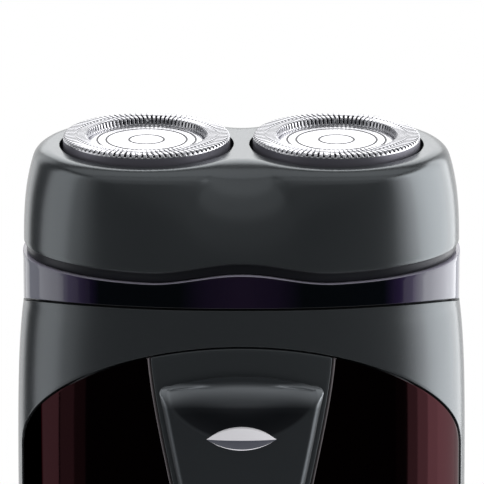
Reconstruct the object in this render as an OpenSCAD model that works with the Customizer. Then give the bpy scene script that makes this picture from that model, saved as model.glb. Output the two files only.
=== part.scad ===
// Rotary shaver with two floating shaving heads, powered by two AA cells.
// X is the width, the front faces -Y, Z is up and the base stands on Z = 0.
// The two halves of the body meet at Y = 0. All lengths are in millimetres.

/* [Body] */
// Height from the base to the faces of the guards
total_h = 108; // [108:1:118]
// Width of the body at its widest
body_w = 60; // [59:0.5:64]
// Depth from the parting plane to the front of the body
body_front = 16.6; // [16.2:0.2:19]
// Depth from the parting plane to the back of the body
body_back = 17.9; // [17.5:0.2:21]
// Height of the fullest part of the back
palm_z = 50; // [42:1:58]
// How much narrower each side is at the ring than at the widest
flare = 1.07; // [0.4:0.1:2]
// How much shallower the front is at the ring than at its deepest
flare_front = 0.4; // [0.2:0.1:0.8]
// Length over which the flare fades out below the ring
flare_l = 7.5; // [5:0.5:10]
// How much narrower each side is at the base than at the widest
base_taper = 2.4; // [1:0.2:3.4]
// Height from which the body narrows towards the base
taper_z = 45; // [36:1:50]
// Radius of the rounded edge at the base
base_r = 5; // [4:0.5:7]
// Squareness of the body's cross-section
section_n = 2.4; // [2.2:0.1:3]
// Wall of the housing, with its recess for the panels
body_wall = 2.6; // [2.4:0.1:2.8]
// Depth of the recess that takes the panels, the strip and the ring
recess_t = 1.4; // [1.2:0.1:1.6]
// Thickness of the panels, the strip and the ring
skin_t = 1.2; // [0.9:0.1:1.2]
// Visible seam between covers
seam = 0.3; // [0.2:0.1:0.5]

/* [Head] */
// Distance between the two guards' centres
head_pitch = 25; // [25:0.25:27]
// Radius of each lobe of the head at its lower edge
lobe_r = 16.3; // [15.8:0.1:17]
// Radius of the rounded edge around the deck
deck_edge_r = 1.6; // [1:0.2:2.2]
// How far the side of the head leans in between its lower edge and the deck
head_lean = 1.9; // [1:0.1:2.4]
// Height of the head from the deck to the lowest point of its edge
head_h = 14.5; // [13.8:0.1:15.2]
// How far the head's lower edge rises at the waist
wave_h = 1.35; // [0.8:0.05:2.2]
// How far the head's lower edge rises at the sides
wave_side_h = 0.56; // [0.2:0.05:1]
// Radius of the fillet in the waist, at the deck
waist_top_r = 4; // [3:0.5:5]
// Radius of the fillet in the waist, at the lower edge
waist_low_r = 40; // [20:1:50]
// How far the head's lower edge stands in from the ring at the sides
head_inset = 0.13; // [0.1:0.01:0.3]
// Wall of the head shell
head_wall = 1.6; // [1.3:0.1:1.7]
// Height that the ring's upper edge lies below the head's edge
ring_step = 0.2; // [0.1:0.05:0.3]
// Height of the ring at the sides
ring_h = 6.5; // [6:0.1:8]
// How far the ring's lower edge rises to the front and the back
ring_rise = 3.3; // [2:0.1:4]

/* [Guards and cutters] */
// Radius of a guard
guard_r = 11; // [10.6:0.1:11.1]
// Clearance between a guard and its hole in the deck
guard_gap = 0.5; // [0.3:0.05:0.55]
// Height of a guard above the deck
guard_stand = 1.4; // [1:0.1:1.6]
// Sheet thickness of a guard
guard_t = 0.3; // [0.2:0.05:0.35]
// Inner radius of the ring of slots
slot_in = 8.2; // [7.9:0.1:8.6]
// Outer radius of the ring of slots
slot_out = 10.3; // [9.8:0.1:10.4]
// Width of one slot
slot_w = 0.3; // [0.2:0.05:0.35]
// Number of slots in a guard
slots = 90; // [60:6:96]
// Travel of a guard when it is pressed in
float_travel = 1.5; // [0.8:0.1:1.6]
// Number of blades on a cutter
blades = 12; // [8:1:15]

/* [Drive] */
// Gear module
gear_m = 0.5; // [0.5:0.01:0.52]
// Teeth on the motor pinion
pinion_teeth = 10; // [10:1:10]
// Teeth on each drive gear
drive_teeth = 40; // [40:1:40]
// Face width of the gears
gear_w = 2.8; // [2:0.2:2.8]
// Radius of the drive gears' axles
axle_r = 0.8; // [0.6:0.1:1]
// Radius of a drive gear's spindle
spindle_r = 2; // [1.7:0.1:2.2]
// Length of the motor with its end cap
motor_l = 25; // [22:0.5:25]
// Radius of the motor can
motor_r = 10.05; // [9:0.05:10.4]
// Depth of the motor can across its flats
motor_flat = 15.4; // [14:0.2:15.6]

/* [Switch] */
// Distance from the ring to the arch seam's highest point
arch_drop = 5.1; // [4:0.1:8]
// Height of the arch from the sides to its highest point
arch_h = 17.1; // [14:0.1:22]
// How far the panels' side edges stand in from the body's sides
panel_edge = 0.7; // [0.5:0.1:1.6]
// Half-width of the switch strip at the arch
strip_top_half = 11.9; // [11:0.1:13]
// Half-width of the switch strip at the base
strip_base_half = 3.6; // [3:0.2:5]
// Travel of the switch
switch_travel = 3.5; // [2.5:0.25:3.75]
// Distance from the arch seam to the slider
slider_drop = 3.9; // [3.8:0.1:6]
// Length of the slider
slider_l = 37.8; // [34:0.2:42]
// How far the slider stands out from the strip
slider_h = 1.7; // [1.2:0.1:2]
// Margin of the strip beside the slider
slider_margin = 0.75; // [0.5:0.05:1]

/* [Battery] */
// Radius of an AA cell
cell_r = 7.25; // [7:0.05:7.25]
// Length of an AA cell
cell_l = 50.5; // [49.5:0.1:50.5]
// Half-width of the battery cover
cover_half = 20.3; // [19.8:0.1:20.8]
// Height of the battery cover's highest point
cover_top = 62; // [58:1:66]

/* [Hidden] */
$fn = 48;

// Clearances
fit = 0.3;              // between covers, and around what slides
run_fit = 0.05;         // radial, of a shaft in its bore
reach = 60;             // longer than anything that a prism has to cut

// Levels, from the guards down
deck_z = total_h - guard_stand;
deck_under = deck_z - head_wall;
head_low = deck_z - head_h;
flange_t = 0.6;
flange_r = guard_r + guard_gap + 0.7;
flange_top = deck_under - fit;
flange_low = flange_top - flange_t;
face_under = total_h - guard_t;
recess_floor = total_h - 1.4;
hub_top = recess_floor - guard_t - 0.4;
disc_t = 0.6;
disc_z = flange_low + fit;
hub_low = disc_z - 0.9;
frame_t = 1.3;
frame_top = flange_low - float_travel - fit;
frame_low = frame_top - frame_t;
key_gap = 0.35;
key_top = disc_z + 0.7;
cap_top = hub_low - fit;

// Levels of the gear train, below the hair chamber
tray_drop = 1.7;         // of the chamber's floor below the head's edge
tray_top = head_low - tray_drop;
tray_t = 1.4;
tray_low = tray_top - tray_t;
gear_z = tray_low - 0.6 - gear_w;
plate_t = 1.6;
plate_top = gear_z - 0.6;
plate_low = plate_top - plate_t;
motor_low = plate_low - motor_l;
end_cap_t = 2.6;

// Levels of the battery bay
bay_t = 1.2;
bay_floor = body_wall + bay_t;
bridge_t = 0.3;
cell_low = bay_floor + bridge_t + 1.7;
shelf_t = 1;
contact_t = 0.4;
shelf_low = cell_low + cell_l + contact_t;
cell_x = cell_r + 0.35;
nub_h = 1.3;
nub_r = 2.75;

// Slides of the battery cover
tongue_reach = 1.3;
rail_t = 1.5;
rail_top = cover_top - 8;

// Ring
ring_top = deck_z - head_h;                 // level below which the body flares
ring_low_side = ring_top - ring_h;          // lower edge of the ring at the parting plane
ring_edge_end = 17;                         // depth at which that edge is at its highest
arch_top = ring_edge(body_front) - arch_drop;
arch_side = arch_top - arch_h;
slider_top = arch_top - slider_drop;
slider_low = slider_top - slider_l;

lobe_x = head_pitch / 2;
function side(s) = s == "left" ? -lobe_x : lobe_x;

// ---- Outer form of the body

// How far a side stands in from its widest: at the ring by the flare, at the base by the taper
function flared(z, by) = by * exp(-max(0, ring_low_side - z) / flare_l);
function tapered(z, from_z, by) = z < from_z ? by * pow((from_z - z) / from_z, 2) : 0;
function half_w(z) = body_w / 2 - flared(z, flare) - tapered(z, taper_z, base_taper);
function front_half(z) = body_front - flared(z, flare_front) - tapered(z, taper_z, base_taper / 2);
// The back swells at palm_z, and is as shallow as the front at the ring
function back_half(z) = body_back - tapered(z, palm_z, base_taper)
  - (z > palm_z ? (body_back - body_front + flare_front) * pow((z - palm_z) / (ring_top - palm_z), 2) : 0);

// One ring of points around the body at height z, moved in by d
ring_n = 44;
function body_ring(z, d) = [for (i = [0:ring_n - 1])
  let (t = 360 * i / ring_n, c = cos(t), s = sin(t))
  [sign(c) * (half_w(z) - d) * pow(abs(c), 2 / section_n),
   sign(s) * ((s < 0 ? front_half(z) : back_half(z)) - d) * pow(abs(s), 2 / section_n), z]];

// Rings from the base, rounded by base_r, to above the ring band
skin_levels = concat([for (z = [14:10:54]) z],
  [for (f = [21, 14, 9, 5, 2, 0]) ring_low_side - f], [ring_top + 4]);
function skin_rings(d) = concat(
  [for (a = [0:22.5:90]) body_ring(base_r - (base_r - d) * cos(a), base_r - (base_r - d) * sin(a))],
  [for (z = skin_levels) body_ring(z, d)]);

// Solid through a stack of rings, each with the same number of points
module loft(rings) {
  n = len(rings[0]);
  m = len(rings);
  polyhedron(
    points = [for (r = rings) each r],
    faces = concat(
      [[for (i = [0:n - 1]) i]],
      [[for (i = [n - 1:-1:0]) (m - 1) * n + i]],
      [for (k = [0:m - 2], i = [0:n - 1])
        let (j = (i + 1) % n, a = k * n + i, b = k * n + j, c = b + n, d = a + n)
        each [[a, d, c], [a, c, b]]]));
}

// Body's outer form, moved in by d
module skin(d) loft(skin_rings(d));

// What lies between the skins at depths d0 and d1
module shell(d0, d1) {
  difference() {
    skin(d0);
    skin(d1);
  }
}

// ---- Prisms that divide the skin into covers

// Outline in X and Z, carried from the parting plane to the front, or to the back
module to_front() rotate([90, 0, 0]) linear_extrude(reach) children();
module to_back() translate([0, reach, 0]) rotate([90, 0, 0]) linear_extrude(reach) children();
module both_ways() translate([0, reach, 0]) rotate([90, 0, 0]) linear_extrude(2 * reach) children();

module slab(z0, z1) translate([-reach, -reach, z0]) cube([2 * reach, 2 * reach, z1 - z0]);
module front_side() translate([-reach, -reach, -1]) cube([2 * reach, reach, 2 * reach]);
module back_side() translate([-reach, 0, -1]) cube([2 * reach, reach, 2 * reach]);

// Wave of the head's lower edge: up at the waist, lowest at the lobes
function wave(x) = abs(x) < lobe_x
  ? head_low + wave_h / 2 + wave_h / 2 * cos(180 * x / lobe_x)
  : head_low + wave_side_h * pow((abs(x) - lobe_x) / lobe_r, 2);

// Everything below the wave, lowered by d
module below_wave(d) both_ways() polygon(concat(
  [for (x = [-35:2.5:35]) [x, wave(x) - d]], [[35, -1], [-35, -1]]));

// Everything above the ring's lower edge, which rises in an arc to the front and back
function ring_edge(y) = let (u = min(1, (sqrt(y * y + 4) - 2) / ring_edge_end))
  ring_low_side + ring_rise * (1 - pow(1 - u, 2));
module above_ring_edge(d) translate([-reach, 0, 0]) rotate([90, 0, 90]) linear_extrude(2 * reach)
  polygon(concat([for (y = [-20:2:20]) [y, ring_edge(y) + d]], [[20, reach * 2], [-20, reach * 2]]));

// Region below the arch seam, moved in by d: its side edges follow the body's sides
panel_low = 6;
function panel_half(z) = half_w(z) - panel_edge;
panel_levels = [for (f = [0.15, 0.35, 0.55, 0.78, 1]) arch_side + (panel_low - arch_side) * f];
module arch(d) to_front() polygon(concat(
  [for (t = [0:6:180]) [(panel_half(arch_side) - d) * cos(t), arch_side + (arch_h - d) * sin(t)]],
  [for (z = panel_levels) [d - panel_half(z), max(z, panel_low + d)]],
  [for (i = [len(panel_levels) - 1:-1:0])
    [panel_half(panel_levels[i]) - d, max(panel_levels[i], panel_low + d)]]));

// Switch strip: it narrows in a soft curve from the arch to the base
function strip_half(z) = strip_base_half
  + (strip_top_half - strip_base_half) * exp(-pow(max(0, arch_top - z) / 32, 1.6));
strip_steps = 30;
function strip_z(i) = arch_top * 1.05 * i / strip_steps;
function strip_outline(d) = concat(
  [for (i = [0:strip_steps]) [strip_half(strip_z(i)) + d, strip_z(i)]],
  [for (i = [strip_steps:-1:0]) [-strip_half(strip_z(i)) - d, strip_z(i)]]);
module strip_region(d) to_front() polygon(strip_outline(d));

// ---- Shaving unit

// Radius of a lobe, d below the deck
function lobe_at(d) = lobe_r - head_lean * pow(1 - min(d, head_h) / head_h, 2)
  - (d < deck_edge_r ? deck_edge_r * (1 - sqrt(1 - pow(1 - d / deck_edge_r, 2))) : 0);
// Radius of the fillet in the waist, d below the deck
function waist_r(d) = waist_top_r + (waist_low_r - waist_top_r) * d / head_h;

// Outline of two lobes of radius r with a fillet of radius f in each side of the waist
function arc(cx, cy, r, a0, a1, n) = [for (i = [0:n - 1])
  let (a = a0 + (a1 - a0) * i / (n - 1)) [cx + r * cos(a), cy + r * sin(a)]];
function two_lobes(r, f) = let (yf = sqrt(pow(r + f, 2) - pow(lobe_x, 2)), b = atan2(yf, lobe_x),
  e = (180 - 2 * b) / 8)
  [for (p = concat(arc(lobe_x, 0, r, b - 180, 180 - b, 27), arc(0, yf, f, -b - e, b + e - 180, 4),
    arc(-lobe_x, 0, r, b, 360 - b, 27), arc(0, -yf, f, 180 - b - e, b + e, 4))) to_ring(p)];
// Beyond its centre each lobe is as wide as the ring below it asks
lobe_reach = half_w(ring_top) - head_inset - lobe_x;
function to_ring(p) = abs(p.x) < lobe_x ? p
  : [sign(p.x) * (lobe_x + (abs(p.x) - lobe_x) * lobe_reach / lobe_r), p.y];
// Outline of the head, d below the deck and moved in by t: two lobes at the deck, the ring's section at the edge
function on_ring(p, t) = p / pow(pow(abs(p.x) / (half_w(ring_top) - head_inset - t), section_n)
  + pow(abs(p.y) / (front_half(ring_top) - head_inset - t), section_n), 1 / section_n);
function head_outline(d, t) = let (w = min(d, head_h) / head_h)
  [for (p = two_lobes(lobe_at(d) - t, waist_r(d) + t)) p * (1 - w) + on_ring(p, t) * w];
function head_ring(d, t) = [for (p = head_outline(d, t)) [p.x, p.y, deck_z - d]];

// Deck and drafted side wall, open below, with a hole for each guard
head_levels = concat([head_h + 1, 10, 6, 3],
  [for (u = [0.75, 0.4375, 0.1875, 0.0625, 0]) u * deck_edge_r]);
module head_shell() color([0.16, 0.17, 0.18]) {
  difference() {
    loft([for (d = head_levels) head_ring(d, 0)]);
    intersection() {
      loft([for (d = [head_h + 2, 11, 7, 4, head_wall / 2]) head_ring(d, head_wall)]);
      slab(0, deck_under);
    }
    below_wave(0);
    for (s = ["left", "right"]) translate([side(s), 0, deck_z - reach / 2])
      cylinder(r = guard_r + guard_gap, h = reach);
  }
  lock_lugs();
}

// Two ledges on the waist walls that the lock's bar rests on
knob_bar_half = 8.4;
knob_bar_z = frame_low - 2.3;
module lock_lugs() {
  intersection() {
    loft([for (d = [head_h, 11, 7, 4]) head_ring(d, head_wall - 0.4)]);
    for (m = [0, 1]) mirror([0, m, 0])
      translate([-2.5, 5, knob_bar_z - fit - 1.4]) cube([5, 12, 1.4]);
  }
}

// Plate that keeps both guards and cutters in the head
frame_hole_r = 9.5;
pivot_r = 1.5;
module retaining_frame() color([0.5, 0.52, 0.55]) {
  difference() {
    translate([0, 0, frame_low]) linear_extrude(frame_t)
      polygon(head_outline(deck_z - frame_top, head_wall + fit));
    for (s = ["left", "right"]) translate([side(s), 0, frame_low - 1]) cylinder(r = frame_hole_r, h = 4);
    translate([0, 0, frame_low - 1]) cylinder(r = pivot_r + run_fit, h = 4);
  }
}

// Turning lock: a bar that rests on the lugs, with a thumb ridge below
module lock_knob() color([0.75, 0.3, 0.2]) {
  translate([0, 0, knob_bar_z]) {
    translate([-2, -knob_bar_half, 0]) cube([4, 2 * knob_bar_half, 1.5]);
    cylinder(r = 3.2, h = 2);
    cylinder(r = pivot_r, h = frame_top - knob_bar_z);
    translate([-0.9, -4.2, -3.2]) cube([1.8, 8.4, 3.3]);
  }
}

// Guard: a thin cup whose face is a ring of slots around a sunk centre
module guard(s) color([0.72, 0.74, 0.77]) translate([side(s), 0, 0]) {
  roll = 0.5;
  // Skirt with its flange, rolled over into the face
  rotate_extrude($fn = 96) polygon([
    [guard_r - guard_t, flange_low], [flange_r, flange_low], [flange_r, flange_top],
    [guard_r, flange_top], [guard_r, total_h - roll], [guard_r - roll, total_h],
    [slot_out + 0.05, total_h], [slot_out + 0.05, face_under], [guard_r - guard_t, face_under - 0.3]]);
  // Face with its slots, open for the cutter's edges below
  translate([0, 0, face_under]) linear_extrude(guard_t) difference() {
    circle(r = slot_out + 0.05, $fn = 96);
    circle(r = slot_in - 0.05, $fn = 96);
    for (i = [0:slots - 1]) rotate(360 * i / slots) translate([slot_in, -slot_w / 2])
      square([slot_out - slot_in, slot_w]);
  }
  // Wall and floor of the sunk centre
  rotate_extrude($fn = 96) polygon([
    [slot_in - 0.05, total_h], [slot_in - 0.35, total_h - 0.1], [slot_in - 0.5, recess_floor],
    [0, recess_floor], [0, recess_floor - guard_t], [slot_in - 0.5 + guard_t, recess_floor - guard_t],
    [slot_in - 0.05, face_under - 0.2]]);
}
module guard_left() guard("left");
module guard_right() guard("right");

// Decorative disc that sits in the sunk centre of a guard
module guard_cap(s) color([0.85, 0.86, 0.88]) translate([side(s), 0, recess_floor]) {
  difference() {
    cylinder(r = slot_in - 0.7, h = 0.6, $fn = 96);
    for (r = [6.5, 5.3]) translate([0, 0, 0.5]) difference() {
      cylinder(r = r + 0.08, h = 1, $fn = 96);
      translate([0, 0, -1]) cylinder(r = r - 0.08, h = 3, $fn = 96);
    }
  }
}
module guard_cap_left() guard_cap("left");
module guard_cap_right() guard_cap("right");

// Cutter: a disc with a ring of upright blades that run under the slots
blade_t = 0.5;
module cutter(s) color([0.6, 0.62, 0.65]) translate([side(s), 0, 0]) {
  cutter_r = guard_r - guard_t - 0.4;
  translate([0, 0, disc_z]) difference() {
    cylinder(r = cutter_r, h = disc_t, $fn = 72);
    translate([0, 0, -1]) cylinder(r = hub_r, h = 3);
  }
  for (i = [0:blades - 1]) rotate(360 * i / blades)
    translate([slot_in + fit, -blade_t / 2, disc_z + disc_t - 0.1])
      cube([cutter_r - 0.1 - slot_in - fit, blade_t, face_under - fit - disc_z - disc_t + 0.1]);
}
module cutter_left() cutter("left");
module cutter_right() cutter("right");

// Plastic hub of a cutter, with a square socket that the coupling's key enters
hub_r = 4;
key_half = 1.8;
module cutter_hub(s) color([0.9, 0.9, 0.86]) translate([side(s), 0, 0]) {
  socket = 2 * (key_half + key_gap);
  difference() {
    union() {
      translate([0, 0, hub_low]) cylinder(r = hub_r + 1.5, h = disc_z - hub_low);
      translate([0, 0, hub_low]) cylinder(r = hub_r, h = hub_top - hub_low);
    }
    translate([-socket / 2, -socket / 2, hub_low - 1]) cube([socket, socket, key_top + fit - hub_low + 1]);
  }
}
module cutter_hub_left() cutter_hub("left");
module cutter_hub_right() cutter_hub("right");

// ---- Drive

// Spring-loaded cap that slides on the spindle and carries the key
cap_r = 3.2;
cap_low = cap_top - 5.4;
module coupling_cap(s) color([0.93, 0.93, 0.9]) translate([side(s), 0, 0]) {
  difference() {
    translate([0, 0, cap_low]) cylinder(r = cap_r, h = cap_top - cap_low);
    translate([0, 0, cap_low - 1]) cylinder(r = spindle_r + 2 * run_fit, h = cap_top - 0.5 - cap_low + 1);
  }
  translate([-key_half, -key_half, cap_top - 0.1])
    cube([2 * key_half, 2 * key_half, key_top - cap_top + 0.1]);
}
module coupling_cap_left() coupling_cap("left");
module coupling_cap_right() coupling_cap("right");
spindle_top = cap_top - 0.5 - float_travel - fit;

// Spring of round wire: its turns lie on a cone from radius r0 to r1
module spring(r0, r1, wire_r, z0, z1, turns) {
  steps = ceil(turns * 14);
  sides = 6;
  function at(k) = let (f = k / steps, a = 360 * turns * f, r = r0 + (r1 - r0) * f,
    z = z0 + wire_r + (z1 - z0 - 2 * wire_r) * f)
    [for (j = [0:sides - 1]) let (b = 360 * j / sides, q = r + wire_r * cos(b))
      [q * cos(a), q * sin(a), z + wire_r * sin(b)]];
  polyhedron(
    points = [for (k = [0:steps]) each at(k)],
    faces = concat([[for (j = [sides - 1:-1:0]) j]], [[for (j = [0:sides - 1]) steps * sides + j]],
      [for (k = [0:steps - 1], j = [0:sides - 1])
        let (i = (j + 1) % sides, a = k * sides + j, b = k * sides + i)
        each [[a, b, b + sides], [a, b + sides, a + sides]]]));
}

collar_r = 4;
collar_z = tray_top + 1.4;
collar_t = 0.6;
module coupling_spring(s) color("silver") translate([side(s), 0, 0])
  spring(2.75, 2.75, 0.22, collar_z + collar_t + 0.1, cap_low - 0.1, 4.5);
module coupling_spring_left() coupling_spring("left");
module coupling_spring_right() coupling_spring("right");

// Outline of a gear: straight-flanked teeth, rounded off by their narrow tips
tooth_up = 0.72 * gear_m;
tooth_down = 1.3 * gear_m;
function gear_outline(n) = let (r = n * gear_m / 2, root = r - tooth_down, tip = r + tooth_up, p = 360 / n)
  [for (i = [0:n - 1]) each [
    [root * cos(p * (i - 0.29)), root * sin(p * (i - 0.29))],
    [r * cos(p * (i - 0.2)), r * sin(p * (i - 0.2))],
    [tip * cos(p * (i - 0.1)), tip * sin(p * (i - 0.1))],
    [tip * cos(p * (i + 0.1)), tip * sin(p * (i + 0.1))],
    [r * cos(p * (i + 0.2)), r * sin(p * (i + 0.2))],
    [root * cos(p * (i + 0.29)), root * sin(p * (i + 0.29))]]];

// Drive gear with its spindle, which turns on a steel axle
module drive_gear(s) color([0.9, 0.88, 0.8]) translate([side(s), 0, 0]) {
  difference() {
    union() {
      translate([0, 0, gear_z]) rotate(180 / drive_teeth) linear_extrude(gear_w)
        polygon(gear_outline(drive_teeth));
      translate([0, 0, gear_z]) cylinder(r = spindle_r, h = spindle_top - gear_z);
      translate([0, 0, collar_z]) cylinder(r = collar_r, h = collar_t);
    }
    translate([0, 0, gear_z - 1]) cylinder(r = axle_r + run_fit, h = axle_top + fit - gear_z + 1);
    // Lightening groove in the gear's upper face
    translate([0, 0, gear_z + gear_w - 1]) difference() {
      cylinder(r = 8.2, h = 2);
      translate([0, 0, -1]) cylinder(r = 4, h = 4);
    }
  }
}
module drive_gear_left() drive_gear("left");
module drive_gear_right() drive_gear("right");

axle_top = spindle_top - 2;
module gear_axle(s) color("silver") translate([side(s), 0, plate_low])
  cylinder(r = axle_r, h = axle_top - plate_low);
module gear_axle_left() gear_axle("left");
module gear_axle_right() gear_axle("right");

shaft_r = 1;
module motor_pinion() color("goldenrod") difference() {
  translate([0, 0, gear_z]) linear_extrude(gear_w) polygon(gear_outline(pinion_teeth));
  translate([0, 0, gear_z - 1]) cylinder(r = shaft_r, h = gear_w + 2);
}
module motor_shaft() color("silver") translate([0, 0, motor_low + 0.6])
  cylinder(r = shaft_r, h = gear_z + gear_w - motor_low - 0.6);

can_wall = 0.6;
armature_r = 7;
brush_z = motor_low + end_cap_t + 0.6;
module motor_armature() color([0.7, 0.35, 0.15]) difference() {
  union() {
    translate([0, 0, brush_z]) cylinder(r = 2.6, h = 3.5);
    translate([0, 0, brush_z + 3.4]) cylinder(r = 4.4, h = 2);
    translate([0, 0, brush_z + 5.3]) linear_extrude(plate_low - brush_z - 9) difference() {
      circle(r = armature_r);
      for (a = [0, 120, 240]) rotate(a) translate([3.2, -0.6]) square([5, 1.2]);
    }
  }
  translate([0, 0, brush_z - 1]) cylinder(r = shaft_r, h = motor_l);
}

// Body of the motor: a round can with two flats
module can_form(r, flat, h) linear_extrude(h) intersection() {
  circle(r = r, $fn = 72);
  square([2 * r + 2, flat], center = true);
}
boss_r = 3;
module motor_can() color([0.75, 0.76, 0.78]) difference() {
  union() {
    translate([0, 0, motor_low + end_cap_t]) can_form(motor_r, motor_flat, motor_l - end_cap_t);
    translate([0, 0, plate_low - 0.1]) cylinder(r = boss_r, h = plate_t);
  }
  translate([0, 0, motor_low + end_cap_t - 1])
    can_form(motor_r - can_wall, motor_flat - 2 * can_wall, motor_l - end_cap_t + 1 - can_wall);
  translate([0, 0, plate_low - 2]) cylinder(r = shaft_r + run_fit, h = 5);
  for (y = [-1, 1]) translate([0, y * motor_screw_y, plate_low - 2]) cylinder(r = motor_screw_r, h = 3);
}
module motor_magnets() color([0.25, 0.25, 0.27]) translate([0, 0, brush_z + 4]) linear_extrude(15.5)
  intersection() {
    difference() {
      circle(r = motor_r - can_wall - 0.05, $fn = 72);
      circle(r = armature_r + 0.4, $fn = 72);
    }
    square([4 * motor_r, 9], center = true);
  }
module motor_end_cap() color([0.92, 0.92, 0.9]) difference() {
  union() {
    translate([0, 0, motor_low]) can_form(motor_r, motor_flat, end_cap_t - 0.8);
    translate([0, 0, motor_low])
      can_form(motor_r - can_wall - 0.1, motor_flat - 2 * can_wall - 0.2, end_cap_t + 0.5);
  }
  translate([0, 0, motor_low + 0.5]) cylinder(r = shaft_r + run_fit, h = end_cap_t + 2);
  translate([0, 0, motor_low + 1.6]) cylinder(r = armature_r, h = end_cap_t + 2);
}
module motor_terminals() color("goldenrod") for (x = [-1, 1])
  translate([x * 6 - 1.2, -motor_flat / 2 - 0.5, motor_low - 0.2]) cube([2.4, 0.4, 3.2]);

motor_screw_y = 5.8;
motor_screw_r = 0.8;
module motor_screws() color("silver") for (y = [-1, 1]) translate([0, y * motor_screw_y, 0]) difference() {
  union() {
    translate([0, 0, plate_low - 1.4]) cylinder(r = motor_screw_r, h = plate_t + 1.5);
    translate([0, 0, plate_top]) cylinder(r = 1.4, h = 0.5);
  }
  translate([-2, -0.2, plate_top + 0.25]) cube([4, 0.4, 1]);
}

// Plate that carries the axles and the motor, clamped on the housing's ledge
plate_inset = body_wall + 0.2;
module gear_plate() color([0.35, 0.37, 0.4]) difference() {
  intersection() {
    skin(plate_inset);
    slab(plate_low, plate_top);
  }
  for (s = ["left", "right"]) translate([side(s), 0, plate_low - 1]) cylinder(r = axle_r, h = 4);
  translate([0, 0, plate_low - 1]) cylinder(r = boss_r + 0.1, h = 4);
  for (y = [-1, 1]) translate([0, y * motor_screw_y, plate_low - 1]) cylinder(r = motor_screw_r + 0.1, h = 4);
}

// Floor of the hair chamber, with the ledge under the head's edge and a spigot that the head fits
spigot_top = wave(0) + 2;
spigot_gap = head_wall + fit;
spigot_t = 1.1;
spindle_hole_r = spindle_r + 0.6;
module spigot_form(d) intersection() {
  polygon(head_outline(deck_z - spigot_top, spigot_gap + d));
  polygon(head_outline(head_h, spigot_gap + d));
}
module chamber_tray() color([0.2, 0.21, 0.23]) {
  difference() {
    intersection() {
      skin(recess_t);
      union() {
        intersection() {
          slab(tray_low, deck_z);
          below_wave(fit);
        }
        translate([0, 0, tray_top - 0.5]) linear_extrude(spigot_top - tray_top + 0.5) spigot_form(0);
      }
    }
    translate([0, 0, tray_top]) linear_extrude(reach) spigot_form(spigot_t);
    for (s = ["left", "right"]) translate([side(s), 0, tray_low - 1]) cylinder(r = spindle_hole_r, h = 4);
  }
}

// Sealing washers around the spindles
module spindle_seals() color([0.1, 0.1, 0.1]) for (s = ["left", "right"])
  translate([side(s), 0, tray_top]) difference() {
    cylinder(r = 4.6, h = 1);
    translate([0, 0, -1]) cylinder(r = spindle_r + fit, h = 3);
  }

// ---- Housing

module ring_band() color([0.2, 0.15, 0.3, 0.9]) intersection() {
  shell(0, skin_t);
  below_wave(ring_step);
  above_ring_edge(0);
}

// Screws that join the halves: [x, z] of each
screw_r = 1;
boss_outer_r = 2.4;
screw_top_z = plate_low - 11.4;
screw_low_z = 11;
screw_top_x = body_w / 2 - 10;
screw_low_x = cover_half + tongue_reach + fit + 2.3;
screw_at = [for (m = [-1, 1]) each [[m * screw_top_x, screw_top_z], [m * screw_low_x, screw_low_z]]];
seat_y = 6.5;

// Bosses along Y at each screw, from y0 to y1
module along_y(r, y0, y1) for (p = screw_at)
  translate([p.x, y1, p.y]) rotate([90, 0, 0]) cylinder(r = r, h = y1 - y0);

// Hollow housing below the ring, with a ledge for the gear plate
ledge_t = 1.2;
module housing() {
  difference() {
    intersection() {
      skin(0);
      slab(-1, tray_low);
    }
    skin(body_wall);
    difference() {
      above_ring_edge(-seam);
      skin(recess_t);
    }
  }
  intersection() {
    shell(body_wall - 0.2, body_wall + 1.6);
    slab(plate_low - ledge_t, plate_low);
  }
}

slot_half = 3.2;
stem_h = 8;
stem_low = slider_top - 13.8;
module front_housing() color([0.16, 0.17, 0.18]) difference() {
  union() {
    intersection() {
      housing();
      front_side();
    }
    intersection() {
      skin(body_wall - 0.2);
      along_y(boss_outer_r, -body_front, 0);
    }
  }
  difference() {
    arch(0);
    skin(recess_t);
  }
  along_y(screw_r, -seat_y, 1);
  slider_slot();
}

// Slot through the strip and the wall, for the slider's stem
module slider_slot() translate([-slot_half, -body_front - 1, stem_low - fit])
  cube([2 * slot_half, 7, stem_h + switch_travel + 2 * fit]);

// Opening for the battery cover, moved in by d, from y0 to the back
cover_y = 6;
module cover_region(d, y0) intersection() {
  to_back() polygon(concat([for (t = [0:9:180])
    [(cover_half - d) * cos(t), cover_top - 6 + (6 - d) * sin(t)]],
    [[-cover_half + d, -5], [cover_half - d, -5]]));
  translate([-reach, y0, -1]) cube([2 * reach, reach, 2 * reach]);
}

// Rail: tongue of the cover in a groove of the housing, at each side
tongue_t = 1.2;
tongue_y = 7.2;
module rail_block(x0, x1, y0, y1, z0, z1) for (m = [0, 1]) mirror([m, 0, 0])
  translate([x0, y0, z0]) cube([x1 - x0, y1 - y0, z1 - z0]);

module rear_housing() color([0.16, 0.17, 0.18]) difference() {
  union() {
    intersection() {
      housing();
      back_side();
    }
    intersection() {
      skin(body_wall - 0.2);
      union() {
        along_y(boss_outer_r, 0, body_back);
        rail_block(cover_half + fit, cover_half + 8, tongue_y - rail_t, tongue_y + tongue_t + rail_t,
          1, rail_top);
      }
    }
  }
  cover_region(0, cover_y);
  rail_block(cover_half - 1, cover_half + tongue_reach + fit, tongue_y - fit, tongue_y + tongue_t + fit,
    -1, rail_top + 1);
  along_y(screw_r + 0.1, -1, seat_y + 1);
  along_y(2.2, seat_y, body_back + 2);
}

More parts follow.
